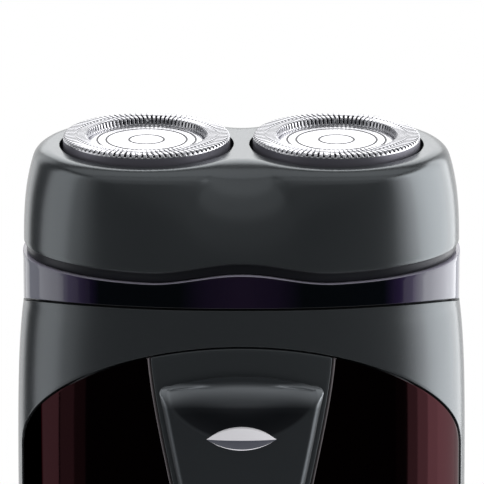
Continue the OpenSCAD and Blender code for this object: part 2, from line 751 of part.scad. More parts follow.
// Cover that slides down off the back, with grip ridges
web_t = 1.4;
cover_gap_low = 0.5;
ridge_h = 0.4;
module battery_cover() color([0.16, 0.17, 0.18]) {
  intersection() {
    shell(0, body_wall - 0.4);
    cover_region(seam, cover_y + fit);
    slab(cover_gap_low, reach * 2);
  }
  intersection() {
    skin(body_wall - 0.6);
    rail_block(cover_half - seam - web_t, cover_half - seam, tongue_y, body_back,
      cover_gap_low, rail_top - 0.5);
  }
  intersection() {
    skin(body_wall + 0.4);
    rail_block(cover_half - seam - web_t, cover_half + tongue_reach, tongue_y, tongue_y + tongue_t,
      base_r + 1, rail_top - 0.5);
  }
  // Grip ridges, shorter towards the base
  intersection() {
    difference() {
      skin(-ridge_h);
      skin(0.5);
    }
    for (i = [0:3]) translate([i - 8, cover_y, cover_top - 13 - 2.4 * i]) cube([16 - 2 * i, reach, 1]);
  }
}

module housing_screws() color("silver") {
  along_y(screw_r - 0.05, 2 - seat_y, seat_y + 0.1);
  difference() {
    along_y(1.9, seat_y, seat_y + 1.5);
    for (p = screw_at, a = [0, 90]) translate([p.x, seat_y + 1.5, p.y]) rotate([0, a, 0])
      cube([2.6, 1.4, 0.5], center = true);
  }
}

// ---- Front covers and switch

module side_panel(s) color([0.25, 0.06, 0.09, 0.95]) difference() {
  intersection() {
    shell(0, skin_t);
    arch(seam);
    translate([s == "left" ? -reach : 0, -reach, 0]) cube([reach, reach, 2 * reach]);
  }
  strip_region(seam);
}
module side_panel_left() side_panel("left");
module side_panel_right() side_panel("right");

module switch_strip() color([0.2, 0.21, 0.22]) difference() {
  intersection() {
    shell(0, skin_t);
    arch(seam);
    strip_region(0);
  }
  slider_slot();
}

// Outline of the slider: it follows the strip, with an arched top and a round lower end
slider_crown = 1.5;
function slider_half(z) = strip_half(z) - slider_margin;
function slider_side(d) = [for (z = [slider_low + 5:3:slider_top - 3]) [slider_half(z) - d, z]];
module slider_outline(d) {
  top_half = slider_half(slider_top - 2) - d;
  tip_half = slider_half(slider_low + 5) - d;
  polygon(concat(
    [for (a = [0:15:75]) [-tip_half * cos(a), slider_low + 5 - (5 - d) * sin(a)]],
    [for (a = [90:-15:15]) [tip_half * cos(a), slider_low + 5 - (5 - d) * sin(a)]],
    slider_side(d),
    [for (u = [1:-0.25:-1]) [u * (top_half - 0.4 * abs(u)), slider_top - d - slider_crown * u * u]],
    [for (i = [len(slider_side(d)) - 1:-1:0]) [-slider_side(d)[i].x, slider_side(d)[i].y]]));
}

// Thumb hollow in the slider, and the pocket for its lens
scoop_r = 24;
lens_z = slider_top - 8.2;
lens_half = 4.55;
lens_high = 1.5;
lens_arc = (lens_half * lens_half + lens_high * lens_high) / (2 * lens_high);
lens_y = body_front + slider_h - 0.4;
lens_t = 0.9;
module scoop() translate([0, -body_front - slider_h - scoop_r + 1, lens_z + 3]) sphere(r = scoop_r, $fn = 48);
module lens_form(d, y0, y1) translate([0, y1, lens_z]) rotate([90, 0, 0]) linear_extrude(y1 - y0)
  intersection() {
    translate([0, lens_high - lens_arc]) circle(r = lens_arc + d, $fn = 64);
    translate([0, lens_arc - lens_high]) circle(r = lens_arc + d, $fn = 64);
  }

module switch_slider() color([0.22, 0.23, 0.25]) {
  difference() {
    union() {
      intersection() {
        shell(-slider_h + 0.7, -fit);
        to_front() slider_outline(0);
      }
      intersection() {
        shell(-slider_h, -fit - 0.1);
        to_front() slider_outline(0.7);
      }
      stem();
    }
    scoop();
    lens_form(0.05, -lens_y - 3, lens_t - lens_y);
  }
}

// Stem through the slot, with the plate that holds it in behind the wall
plate_y = body_front - body_wall - 2 * fit - 1;
module stem() {
  translate([fit - slot_half, -body_front - fit - 0.2, stem_low])
    cube([2 * (slot_half - fit), body_front + fit + 0.2 - plate_y, stem_h]);
  translate([-5, -plate_y - 1, stem_low - 1]) cube([10, 1, stem_h + 2]);
}

module slider_lens() color([0.9, 0.9, 0.92]) lens_form(0, -lens_y, lens_t - lens_y);

// Sliding contact on the stem: an arm and a pad that bridges the fixed terminals
board_y = motor_flat / 2 + 0.7;
board_t = 1.2;
terminal_t = 0.3;
pad_y = board_y + board_t + terminal_t + fit;
pad_t = 0.4;
pad_h = 6;
module switch_contact() color("goldenrod") {
  translate([-2.4, -plate_y, stem_low + 3]) cube([4.8, plate_y - pad_y, 1]);
  translate([-4.4, -pad_y - pad_t, stem_low]) cube([8.8, pad_t, pad_h]);
}
module switch_terminals() color("goldenrod") for (x = [-1, 1])
  translate([x * 3 - 1.3, -board_y - board_t - terminal_t, stem_low + pad_h + 1.5])
    cube([2.6, terminal_t, board_top - stem_low - pad_h - 2.5]);

// ---- Battery bay

// Tray for the cells, with the board that the switch terminals sit on
bay_half = cell_x + cell_r + 0.4;
bay_wall = 1.2;
bay_depth = cover_y;
board_top = plate_low - 2.9;
board_half = 9;
module battery_chassis() color([0.3, 0.31, 0.33]) intersection() {
  skin(body_wall + 0.1);
  bay();
}
module bay() {
  translate([-bay_half - bay_wall, -board_y - board_t, body_wall])
    cube([2 * (bay_half + bay_wall), board_t, shelf_low + shelf_t - body_wall]);
  translate([-board_half, -board_y - board_t, shelf_low])
    cube([2 * board_half, board_t, board_top - shelf_low]);
  translate([-bay_half - bay_wall, -board_y - board_t, body_wall])
    cube([2 * (bay_half + bay_wall), board_y + board_t + bay_depth, bay_t]);
  translate([-bay_half - bay_wall, -board_y - board_t, shelf_low])
    cube([2 * (bay_half + bay_wall), board_y + board_t + cell_r, shelf_t]);
  for (m = [0, 1]) mirror([m, 0, 0]) translate([bay_half, -board_y - board_t, body_wall])
    cube([bay_wall, board_y + board_t + bay_depth, shelf_low + shelf_t - body_wall]);
}

plate_w = 10;
plate_d = 8;
module contact_plate(s) color("silver")
  translate([(s == "left" ? -cell_x : cell_x) - plate_w / 2, -plate_d / 2, shelf_low - contact_t])
    cube([plate_w, plate_d, contact_t]);
module contact_plate_left() contact_plate("left");
module contact_plate_right() contact_plate("right");

// Strip that joins the cells at the base, with a coil under each
module contact_bridge() color("silver") {
  translate([-cell_x - plate_w / 2, -plate_d / 2, bay_floor]) cube([2 * cell_x + plate_w, plate_d, bridge_t]);
  for (m = [-1, 1]) translate([m * cell_x, 0, 0])
    spring(4.2, 2.4, 0.3, bay_floor + bridge_t - 0.1, cell_low, 2.5);
}

// AA cell, its nub up or down
module cell(s, up) translate([s * cell_x, 0, cell_low]) {
  translate([0, 0, up ? 0 : nub_h]) cylinder(r = cell_r, h = cell_l - nub_h);
  translate([0, 0, up ? cell_l - nub_h : 0]) cylinder(r = nub_r, h = nub_h);
}
module battery_left() color([0.2, 0.35, 0.3]) cell(-1, true);
module battery_right() color([0.2, 0.35, 0.3]) cell(1, false);

head_shell();
retaining_frame();
lock_knob();
guard_left();
guard_right();
guard_cap_left();
guard_cap_right();
cutter_left();
cutter_right();
cutter_hub_left();
cutter_hub_right();
coupling_cap_left();
coupling_cap_right();
coupling_spring_left();
coupling_spring_right();
drive_gear_left();
drive_gear_right();
gear_axle_left();
gear_axle_right();
motor_pinion();
motor_shaft();
motor_armature();
motor_magnets();
motor_can();
motor_end_cap();
motor_terminals();
motor_screws();
gear_plate();
chamber_tray();
spindle_seals();
ring_band();
front_housing();
rear_housing();
side_panel_left();
side_panel_right();
switch_strip();
switch_slider();
slider_lens();
switch_contact();
switch_terminals();
battery_chassis();
contact_plate_left();
contact_plate_right();
contact_bridge();
battery_left();
battery_right();
battery_cover();
housing_screws();
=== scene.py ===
# Two-head rotary shaver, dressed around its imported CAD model.
# Sizes are in millimetres until a mesh is made; the front looks along -Y, and Z is up.
import bpy
import bmesh
import numpy as np
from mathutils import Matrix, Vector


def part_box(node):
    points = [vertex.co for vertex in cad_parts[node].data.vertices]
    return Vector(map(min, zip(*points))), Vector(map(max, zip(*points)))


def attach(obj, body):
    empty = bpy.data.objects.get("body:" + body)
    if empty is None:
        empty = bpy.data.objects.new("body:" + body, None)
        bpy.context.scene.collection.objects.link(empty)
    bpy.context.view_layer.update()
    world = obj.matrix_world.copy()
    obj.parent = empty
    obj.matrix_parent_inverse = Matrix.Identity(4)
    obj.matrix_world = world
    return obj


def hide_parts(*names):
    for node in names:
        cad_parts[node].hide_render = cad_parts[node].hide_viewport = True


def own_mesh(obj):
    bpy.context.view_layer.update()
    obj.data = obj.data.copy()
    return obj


print("shaver: loading the frame")
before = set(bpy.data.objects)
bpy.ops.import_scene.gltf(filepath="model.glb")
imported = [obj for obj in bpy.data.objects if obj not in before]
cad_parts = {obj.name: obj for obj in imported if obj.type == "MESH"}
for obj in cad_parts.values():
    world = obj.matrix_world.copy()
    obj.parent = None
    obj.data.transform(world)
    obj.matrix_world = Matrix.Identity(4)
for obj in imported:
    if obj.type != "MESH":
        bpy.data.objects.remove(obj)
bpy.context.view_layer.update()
mm = 0.001
lobeX = 12.5  # the axis of each lobe, guard and cutter stands this far from the middle plane

# ---- meshes from whole arrays


def gridFaces(index, closed=False):  # quads between neighbouring rows and columns
    if closed:
        index = np.concatenate([index, index[:, :1]], axis=1)
    return np.stack([index[:-1, :-1], index[:-1, 1:], index[1:, 1:], index[1:, :-1]], axis=-1).reshape(-1, 4)


def sheetSurface(grid, closed=False):  # one layer of quads through a grid of points
    rows, cols = grid.shape[:2]
    return grid.reshape(-1, 3), gridFaces(np.arange(rows * cols).reshape(rows, cols), closed)


def wallBetween(outer, inner, closed=False):  # outer grid, inner grid turned round, and a rim along each border
    rows, cols = outer.shape[:2]
    count = rows * cols
    index = np.arange(count).reshape(rows, cols)
    faces = [gridFaces(index, closed), gridFaces(index + count, closed)[:, ::-1]]
    if closed:
        rims = [index[0], index[-1][::-1]]
    else:
        rims = [np.concatenate([index[0, :-1], index[:-1, -1], index[-1, :0:-1], index[:0:-1, 0]])]
    for rim in rims:
        after = np.roll(rim, -1)
        faces.append(np.stack([after, rim, rim + count, after + count], axis=-1))
    return np.concatenate([outer.reshape(-1, 3), inner.reshape(-1, 3)]), np.concatenate(faces)


def mirrored(surface):  # the same surface on the other side of the middle plane
    points, faces = surface
    return points * [-1, 1, 1], faces[:, ::-1]


def revolved(profile, angle, centre=0.0):  # rows of radius and height, turned round an upright axis
    r, z = profile[:, :1], profile[:, 1:]
    return np.stack([centre + r * np.cos(angle), r * np.sin(angle), z + 0 * angle], axis=-1)


def placed(name, data):  # a new object in the scene
    made = bpy.data.objects.new(name, data)
    bpy.context.scene.collection.objects.link(made)
    return made


edgeForm = {"segments": 2, "sharpest": 38, "tiny": 1e-7}  # sharper edges than so many degrees are rounded


def makePiece(name, surfaces, body, node, material, edge=0.0, weld=0.002, trims=()):
    # One mesh of all its surfaces, standing for a CAD node. Each trim is a finish and a test of where it shows.
    points, faces, start = [], [], 0
    for p, f in surfaces:
        points.append(p)
        faces.append(f + start)
        start += len(p)
    mesh = bpy.data.meshes.new(name)
    mesh.from_pydata((np.concatenate(points) * mm).tolist(), [], np.concatenate(faces).tolist())
    work = bmesh.new()
    work.from_mesh(mesh)
    bmesh.ops.remove_doubles(work, verts=work.verts, dist=weld * mm)
    bmesh.ops.dissolve_degenerate(work, edges=work.edges, dist=edgeForm["tiny"])
    bmesh.ops.recalc_face_normals(work, faces=work.faces)
    work.to_mesh(mesh)
    work.free()
    mesh.polygons.foreach_set("use_smooth", np.ones(len(mesh.polygons), bool))
    mesh.materials.append(material)
    centres = np.zeros(len(mesh.polygons) * 3)
    mesh.polygons.foreach_get("center", centres)
    slots = np.zeros(len(mesh.polygons), int)
    for number, (trimMaterial, inTrim) in enumerate(trims, 1):
        mesh.materials.append(trimMaterial)
        slots[inTrim(*(centres.reshape(-1, 3).T / mm))] = number
    mesh.polygons.foreach_set("material_index", slots)
    piece = placed(name, mesh)
    if edge:
        bevel = piece.modifiers.new("edge", "BEVEL")
        bevel.width = edge * mm
        bevel.segments = edgeForm["segments"]
        bevel.limit_method = "ANGLE"
        bevel.angle_limit = np.radians(edgeForm["sharpest"])
    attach(piece, body)
    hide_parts(node)
    return piece


def spread(a, b, count, power):  # from a to b, closer together at a
    return a + (b - a) * np.linspace(0, 1, count) ** power


def soft(t):  # from 0 to 1, level at both ends
    t = np.clip(t, 0, 1)
    return t * t * (3 - 2 * t)


# ---- materials
print("shaver: materials")


def axesOf(tree, space="Object"):  # X, Y and Z of a texture space
    place = tree.nodes.new("ShaderNodeTexCoord")
    split = tree.nodes.new("ShaderNodeSeparateXYZ")
    tree.links.new(place.outputs[space], split.inputs["Vector"])
    return split.outputs


def mixed(tree, share, below, above):  # of two colours, each given or from a socket
    node = tree.nodes.new("ShaderNodeMix")
    node.data_type = "RGBA"
    for socket, value in ((0, share), (6, below), (7, above)):
        if isinstance(value, tuple):
            node.inputs[socket].default_value = (*value, 1)
        else:
            tree.links.new(value, node.inputs[socket])
    return node.outputs[2]


def faded(tree, value, start, stop, first=0, last=1):  # goes smoothly from first at start to last at stop
    span = tree.nodes.new("ShaderNodeMapRange")
    span.interpolation_type = "SMOOTHSTEP"
    for socket, setting in (("From Min", start), ("From Max", stop), ("To Min", first), ("To Max", last)):
        span.inputs[socket].default_value = setting
    tree.links.new(value, span.inputs["Value"])
    return span.outputs["Result"]


finishForm = {"slowScale": 90, "fineDetail": 3, "roughShift": 0.05, "bump": 0.6, "coatRough": 0.03}


def finish(name, color, roughness, metallic=0.0, grain=4000.0, relief=0.004, vary=0.06, coat=0.0, ior=1.46):
    # Principled finish: a slow noise shifts the colour, a fine one the roughness and the relief
    made = bpy.data.materials.new(name)
    made.use_nodes = True
    tree = made.node_tree
    shader = tree.nodes["Principled BSDF"]
    place = tree.nodes.new("ShaderNodeTexCoord")
    slow = tree.nodes.new("ShaderNodeTexNoise")
    slow.inputs["Scale"].default_value = finishForm["slowScale"]
    fine = tree.nodes.new("ShaderNodeTexNoise")
    fine.inputs["Scale"].default_value = grain
    fine.inputs["Detail"].default_value = finishForm["fineDetail"]
    for noise in (slow, fine):
        tree.links.new(place.outputs["Object"], noise.inputs["Vector"])
    color = np.array(color, float)
    darker, lighter = tuple(color * (1 - vary)), tuple(np.minimum(color * (1 + vary), 1))
    tree.links.new(mixed(tree, slow.outputs["Fac"], darker, lighter), shader.inputs["Base Color"])
    span = tree.nodes.new("ShaderNodeMapRange")
    span.inputs["To Min"].default_value = max(roughness - finishForm["roughShift"], 0.01)
    span.inputs["To Max"].default_value = min(roughness + finishForm["roughShift"], 1)
    tree.links.new(fine.outputs["Fac"], span.inputs["Value"])
    tree.links.new(span.outputs["Result"], shader.inputs["Roughness"])
    bump = tree.nodes.new("ShaderNodeBump")
    bump.inputs["Strength"].default_value = finishForm["bump"]
    bump.inputs["Distance"].default_value = relief * mm
    tree.links.new(fine.outputs["Fac"], bump.inputs["Height"])
    tree.links.new(bump.outputs["Normal"], shader.inputs["Normal"])
    shader.inputs["Metallic"].default_value = metallic
    shader.inputs["Coat Weight"].default_value = coat
    shader.inputs["Coat Roughness"].default_value = finishForm["coatRough"]
    shader.inputs["IOR"].default_value = ior
    return made


def paintedLightAcross(made, stops, socket="Base Color"):
    # Painted light and shade across the width: the colour changes with the distance from the middle plane, given
    # in mm for each stop
    widest = 30.0
    tree = made.node_tree
    away = tree.nodes.new("ShaderNodeMath")
    away.operation = "ABSOLUTE"
    span = tree.nodes.new("ShaderNodeMapRange")
    span.inputs["From Max"].default_value = widest * mm
    ramp = tree.nodes.new("ShaderNodeValToRGB")
    for distance, color in stops:
        stop = ramp.color_ramp.elements.new(distance / widest)
        stop.color = (*color, 1)
    for spare in (0, len(stops)):  # the two stops that a new ramp has
        ramp.color_ramp.elements.remove(ramp.color_ramp.elements[spare])
    tree.links.new(axesOf(tree)["X"], away.inputs[0])
    tree.links.new(away.outputs[0], span.inputs["Value"])
    tree.links.new(span.outputs["Result"], ramp.inputs["Fac"])
    tree.links.new(ramp.outputs["Color"], tree.nodes["Principled BSDF"].inputs[socket])
    return made


def panelFinishPaintedShade(name, start):
    # Dark red mirror. From start (mm from the middle plane) outwards its colour and its edge reflection are
    # darkened to nearly black: painted shade where the panel turns away
    red, dark = (0.026, 0.009, 0.0108), (0.0045, 0.0012, 0.0016)
    made = finish(name, red, 0.07, metallic=1, relief=0.0006, vary=0.04)
    for socket, inner, outer in (("Base Color", red, dark), ("Specular Tint", (0.6,) * 3, (0.08,) * 3)):
        paintedLightAcross(made, ((0.1, inner), (start, inner), (start + 0.25, outer), (29.9, outer)), socket)
    return made


# Painted light on the slider's thumb hollow: where the painted shade and the painted sheen lie, and their colours
hollowPaintedLight = {"half": 11.0, "high": 9.8, "middle": 81.0, "sharpness": 12.0, "paintedShade": (0.018, 0.020, 0.024),
              "shadeTop": 78.4, "shadeFade": 3.6, "sheen": (0.30, 0.32, 0.34), "sheenLow": 75.6, "sheenRise": 2.4,
              "sheenTop": 78.9, "sheenFade": 0.5}


def paintHollowShadeAndSheen(made):
    # Painted shade on the thumb hollow: the base colour is darkened at once inside its lower edge, fading out
    # towards its top.
    # A painted sheen, a painted highlight, lightens the fading part.
    f = hollowPaintedLight
    tree = made.node_tree
    shader = tree.nodes["Principled BSDF"]
    axes = axesOf(tree)

    def step(operation, *values):
        node = tree.nodes.new("ShaderNodeMath")
        node.operation = operation
        node.use_clamp = operation == "MULTIPLY_ADD"
        for i, value in enumerate(values):
            if isinstance(value, float):
                node.inputs[i].default_value = value
            else:
                tree.links.new(value, node.inputs[i])
        return node.outputs[0]

    def squared(axis, centre, half):
        off = step("SUBTRACT", axes[axis], centre * mm)
        return step("POWER", step("DIVIDE", off, half * mm), 2.0)

    def climb(start, length):  # 0 at start and 1 after length, which is negative for downwards
        return step("MULTIPLY_ADD", axes["Z"], 1 / (length * mm), -start / length)

    reach = step("ADD", squared("X", 0.0, f["half"]), squared("Z", f["middle"], f["high"]))
    inside = step("MULTIPLY_ADD", reach, -f["sharpness"], f["sharpness"])
    dark = step("MULTIPLY", inside, climb(f["shadeTop"], -f["shadeFade"]))
    light = step("MULTIPLY", climb(f["sheenLow"], f["sheenRise"]), climb(f["sheenTop"], -f["sheenFade"]))
    base = shader.inputs["Base Color"].links[0].from_socket
    shaded = mixed(tree, dark, base, f["paintedShade"])
    tree.links.new(mixed(tree, light, shaded, f["sheen"]), shader.inputs["Base Color"])
    return made


turnForm = {"pitch": 0.09, "depth": 0.004, "wobble": 0.6, "strength": 0.5}


def turned(made, centre):
    # Fine lathe rings round an upright axis at centre
    tree = made.node_tree
    place = tree.nodes.new("ShaderNodeTexCoord")
    move = tree.nodes.new("ShaderNodeMapping")
    move.inputs["Location"].default_value = (-centre * mm, 0, 0)
    rings = tree.nodes.new("ShaderNodeTexWave")
    rings.wave_type = "RINGS"
    rings.rings_direction = "Z"
    rings.inputs["Scale"].default_value = 1 / (turnForm["pitch"] * mm * np.pi)
    rings.inputs["Distortion"].default_value = turnForm["wobble"]
    bump = tree.nodes.new("ShaderNodeBump")
    bump.inputs["Strength"].default_value = turnForm["strength"]
    bump.inputs["Distance"].default_value = turnForm["depth"] * mm
    tree.links.new(place.outputs["Object"], move.inputs["Vector"])
    tree.links.new(move.outputs["Vector"], rings.inputs["Vector"])
    tree.links.new(rings.outputs["Fac"], bump.inputs["Height"])
    tree.links.new(bump.outputs["Normal"], tree.nodes["Principled BSDF"].inputs["Normal"])
    return made


moulded = {"grain": 5200, "relief": 0.005}
finishes = {
    "satin": finish("satinGraphite", (0.107, 0.116, 0.123), 0.25, metallic=0.8, **moulded),
    "satinHead": finish("satinHead", (0.113, 0.123, 0.130), 0.23, metallic=0.8, **moulded),
    # The slider's finish carries the hollow's painted shade and painted sheen
    "sliderSatin": paintHollowShadeAndSheen(finish("satinSlider", (0.066, 0.073, 0.080), 0.38, metallic=0.75, **moulded)),
    "stripSatin": finish("satinStrip", (0.097, 0.106, 0.113), 0.32, metallic=0.8, **moulded),
    # Each side's panel is darkened from its own distance: painted shade that follows the lighting of that side
    "panelLeft": panelFinishPaintedShade("mirrorRedLeftPaintedShade", 26.2),
    "panelRight": panelFinishPaintedShade("mirrorRedRightPaintedShade", 29.1),
    # Painted light across the ring: a violet glow in the middle and pale ends stand for light through and off the
    # smoky plastic, nearly black between them
    "ring": paintedLightAcross(finish("smokyVioletPaintedLight", (0.02, 0.01, 0.03), 0.07, relief=0.0006, ior=1.4),
                     ((0.5, (0.0100, 0.0058, 0.0160)), (4.5, (0.0070, 0.0042, 0.0125)),
                      (8, (0.0010, 0.0016, 0.0024)), (18.5, (0.0010, 0.0016, 0.0026)),
                      (20.5, (0.0120, 0.0070, 0.0260)), (22.5, (0.034, 0.026, 0.060)),
                      (24, (0.13, 0.13, 0.16)), (28, (0.20, 0.205, 0.24)))),
    "steel": finish("guardSteel", (0.62, 0.62, 0.65), 0.24, metallic=1, grain=2500, relief=0.002),
    # The guard's smooth side: the guard's steel made darker and bluer, a painted reflection of the dark head
    # round it
    "skirtSteelPaintedReflection": finish("skirtSteelPaintedReflection", (0.15, 0.147, 0.175), 0.38, metallic=0.5, grain=2500, relief=0.002),
    # Painted highlight along the ring's upper edge
    "ringLipPaintedHighlight": finish("ringLipPaintedHighlight", (0.26, 0.25, 0.31), 0.2, relief=0.0006),
    # Painted highlight along the panels' edge beside the strip
    "panelEdgePaintedHighlight": finish("panelEdgePaintedHighlight", (0.20, 0.18, 0.19), 0.25, relief=0.0006),
    # Painted shade for the head's stepped-in lower rim
    "rimPaintedShade": finish("rimPaintedShade", (0.020, 0.021, 0.026), 0.34, metallic=0.6, **moulded),
    "engraved": finish("engravedSteel", (0.035, 0.035, 0.04), 0.4, metallic=0.6),
    # The lens's facets have painted light: the upper one is near white as a painted highlight, the lower one dark
    # as painted shade
    "lensUpperPaintedHighlight": finish("lensUpperPaintedHighlight", (0.86, 0.85, 0.89), 0.25, relief=0.0006, vary=0.02),
    "lensLowerPaintedShade": finish("lensLowerPaintedShade", (0.085, 0.090, 0.115), 0.2, relief=0.0006, vary=0.02),
    "chrome": finish("brightLens", (0.86, 0.85, 0.89), 0.06, metallic=1, grain=1500, relief=0.0006, vary=0.02),
    "capLeft": turned(finish("turnedCapLeft", (0.60, 0.60, 0.63), 0.2, metallic=1, vary=0.03), -lobeX),
    "capRight": turned(finish("turnedCapRight", (0.60, 0.60, 0.63), 0.2, metallic=1, vary=0.03), lobeX),
    "bladeSteel": finish("bladeSteel", (0.42, 0.43, 0.45), 0.3, metallic=1, grain=3000, relief=0.003),
    "plainSteel": finish("plainSteel", (0.55, 0.55, 0.56), 0.32, metallic=1, grain=2600, relief=0.003),
    "brass": finish("brass", (0.68, 0.46, 0.17), 0.28, metallic=1, grain=2600, relief=0.003),
    "copper": finish("copperWinding", (0.62, 0.26, 0.12), 0.34, metallic=1, grain=1800, relief=0.03),
    "magnet": finish("magnet", (0.045, 0.045, 0.05), 0.55, grain=2400, relief=0.02),
    "greyPlastic": finish("greyPlastic", (0.055, 0.058, 0.063), 0.45, grain=2800, relief=0.012),
    "darkPlastic": finish("darkPlastic", (0.022, 0.023, 0.026), 0.48, grain=2800, relief=0.012),
    "whitePlastic": finish("whitePlastic", (0.72, 0.71, 0.67), 0.42, grain=2400, relief=0.01, vary=0.03),
    "gearPlastic": finish("gearPlastic", (0.66, 0.63, 0.54), 0.4, grain=2400, relief=0.01, vary=0.04),
    "lockPlastic": finish("lockPlastic", (0.42, 0.10, 0.05), 0.42, grain=2600, relief=0.012),
    "rubber": finish("sealRubber", (0.018, 0.018, 0.019), 0.8, grain=2200, relief=0.03),
    "cellWrap": finish("cellWrap", (0.035, 0.085, 0.06), 0.28, grain=1200, relief=0.006, coat=0.4),
}

# ---- outer form of the body
bodyForm = {"halfWidth": 30.0, "front": 16.6, "back": 17.9, "palm": 50.0, "flare": 1.07, "flareFront": 0.4,
            "flareLength": 7.5, "taper": 2.4, "taperFrom": 45.0, "baseRadius": 5.0, "squareness": 2.4,
            "ringTop": 92.1, "ringLow": 85.6, "ringRise": 3.3, "riseDepth": 17.0, "riseEase": 2.0,
            "waistRise": 0.675, "sideRise": 0.56, "lobe": 16.3}


def flared(z, by):
    return by * np.exp(-np.maximum(0, bodyForm["ringLow"] - z) / bodyForm["flareLength"])


def tapered(z, start, by):
    return by * (np.maximum(0, start - z) / start) ** 2


def halfWidth(z):  # widest at the palm, drawn in at the ring and at the base
    return (bodyForm["halfWidth"] - flared(z, bodyForm["flare"])
            - tapered(z, bodyForm["taperFrom"], bodyForm["taper"]))


def frontDepth(z):
    return (bodyForm["front"] - flared(z, bodyForm["flareFront"])
            - tapered(z, bodyForm["taperFrom"], bodyForm["taper"] / 2))


def backDepth(z):
    rise = np.maximum(0, z - bodyForm["palm"]) / (bodyForm["ringTop"] - bodyForm["palm"])
    return (bodyForm["back"] - tapered(z, bodyForm["palm"], bodyForm["taper"])
            - (bodyForm["back"] - bodyForm["front"] + bodyForm["flareFront"]) * rise ** 2)


def bodyPoint(angle, level, inset=0.0):
    # Superellipse section at each level. Level is the height, runs round the base edge below baseRadius,
    # and below 0 the flat base closes towards the parting plane.
    edge, power = bodyForm["baseRadius"], 2 / bodyForm["squareness"]
    angle, level, inset = np.broadcast_arrays(angle, level, inset)
    turn = np.clip(level / edge, 0, 1) * np.pi / 2
    z = np.where(level >= edge, level, edge - (edge - inset) * np.cos(turn))
    deep = edge - (edge - inset) * np.sin(turn)
    c, s = np.cos(angle), np.sin(angle)
    x = np.sign(c) * (halfWidth(z) - deep) * np.abs(c) ** power
    y = np.sign(s) * (np.where(s < 0, frontDepth(z), backDepth(z)) - deep) * np.abs(s) ** power
    return np.stack([x, y * np.clip(1 + level, 0, 1), z], axis=-1)


def angleAt(x, level):  # angle from the +X side at which the section reaches x
    edge = bodyForm["baseRadius"]
    turn = np.clip(level / edge, 0, 1) * np.pi / 2
    z = np.where(level >= edge, level, edge - edge * np.cos(turn))
    c = np.clip(np.abs(x) / (halfWidth(z) - edge * (1 - np.sin(turn))), 0, 1) ** (bodyForm["squareness"] / 2)
    return np.arccos(np.sign(x) * c)


def frontSkin(x, z, inset):  # depth of the front at x and z, moved in by inset
    n = bodyForm["squareness"]
    share = np.clip(np.abs(x) / (halfWidth(z) - inset), 0, 1)
    return -(frontDepth(z) - inset) * (1 - share ** n) ** (1 / n)


def ringEdge(y):  # lower edge of the ring: lowest at the sides, in an arc up to front and back
    ease = bodyForm["riseEase"]
    u = np.minimum(1, (np.sqrt(y * y + ease ** 2) - ease) / bodyForm["riseDepth"])
    return bodyForm["ringLow"] + bodyForm["ringRise"] * (1 - (1 - u) ** 2)


def wave(x):  # lower edge of the head: up at the waist, lowest at the lobes
    x = np.abs(x)
    inner = bodyForm["waistRise"] * (1 + np.cos(np.pi * x / lobeX))
    outer = bodyForm["sideRise"] * ((x - lobeX) / bodyForm["lobe"]) ** 2
    return bodyForm["ringTop"] + np.where(x < lobeX, inner, outer)


# ---- covers of the body
coverForm = {"archTop": 83.73, "archRise": 17.1, "panelEdge": 0.7, "panelLow": 6.0, "seam": 0.3, "skin": 1.2,
             "recess": 1.4, "wall": 2.6, "edgeRound": 0.13, "tuck": 1.0, "sideTuck": 0.8, "tipWidth": 0.03,
             "brightEdge": 0.1, "brightShown": 0.08, "stripTop": 11.9, "stripBase": 3.6, "stripArch": 11.8,
             "stripLength": 32.0, "stripCurve": 1.6, "collarTop": 88.9, "collarDrop": 0.9, "edgeLevel": 87.0}
archSide = coverForm["archTop"] - coverForm["archRise"]


def panelHalf(z):
    return halfWidth(z) - coverForm["panelEdge"]


def stripHalf(z):  # narrows in a soft curve from the arch to the base
    fall = (np.maximum(0, coverForm["archTop"] - z) / coverForm["stripLength"]) ** coverForm["stripCurve"]
    return coverForm["stripBase"] + (coverForm["stripTop"] - coverForm["stripBase"]) * np.exp(-fall)


def windowRing(side, inner, rows):
    # Grid from the loop round a window out to the border of one half of the body. inner gives x and level
    # for the window's bottom, its side and its arched top, and the share of the top that its corners take.
    (bottomX, bottomLevel), (sideX, sideLevel), (topX, topLevel), corner = inner
    wide, tall, over = len(bottomX), len(sideX), len(topX)
    inAngle = [angleAt(bottomX, bottomLevel), angleAt(sideX, sideLevel), angleAt(topX, topLevel),
               np.pi - angleAt(sideX, sideLevel)[::-1]]
    inLevel = [bottomLevel, sideLevel, topLevel, sideLevel[::-1]]
    edgeTop = bodyForm["ringLow"] - coverForm["seam"]
    outBottom = np.pi * (1 - np.linspace(0, 1, wide))
    rise = np.linspace(0, 1, over)
    across = np.clip((rise - corner) / (1 - 2 * corner), 0, 1)
    outTopAngle = np.pi * across
    topY = bodyPoint(side * outTopAngle, coverForm["edgeLevel"])[..., 1]
    climb = np.clip(np.minimum(rise, 1 - rise) / corner, 0, 1)
    outTopLevel = np.where(climb < 1, sideLevel[-1] + (edgeTop - sideLevel[-1]) * climb,
                           ringEdge(topY) - coverForm["seam"])
    lift = (sideLevel - sideLevel[0]) / (sideLevel[-1] - sideLevel[0]) * sideLevel[-1]
    outAngle = [outBottom, np.zeros(tall), outTopAngle, np.full(tall, np.pi)]
    outLevel = [np.full(wide, -1.0), lift, outTopLevel, lift[::-1]]
    keep = [slice(0, wide - 1), slice(0, tall), slice(1, over - 1), slice(0, tall - 1)]
    inA, inL, outA, outL = [np.concatenate([part[k] for part, k in zip(parts, keep)])
                            for parts in (inAngle, inLevel, outAngle, outLevel)]
    s = np.linspace(0, 1, rows)[:, None]
    s = 0.5 * (s + soft(s))
    angle = side * ((1 - s) * inA + s * outA)
    level = (1 - s) * inL + s * outL
    return angle, level


def thickWall(angle, level, near, far, closed=False):
    return wallBetween(bodyPoint(angle, level, near), bodyPoint(angle, level, far), closed)


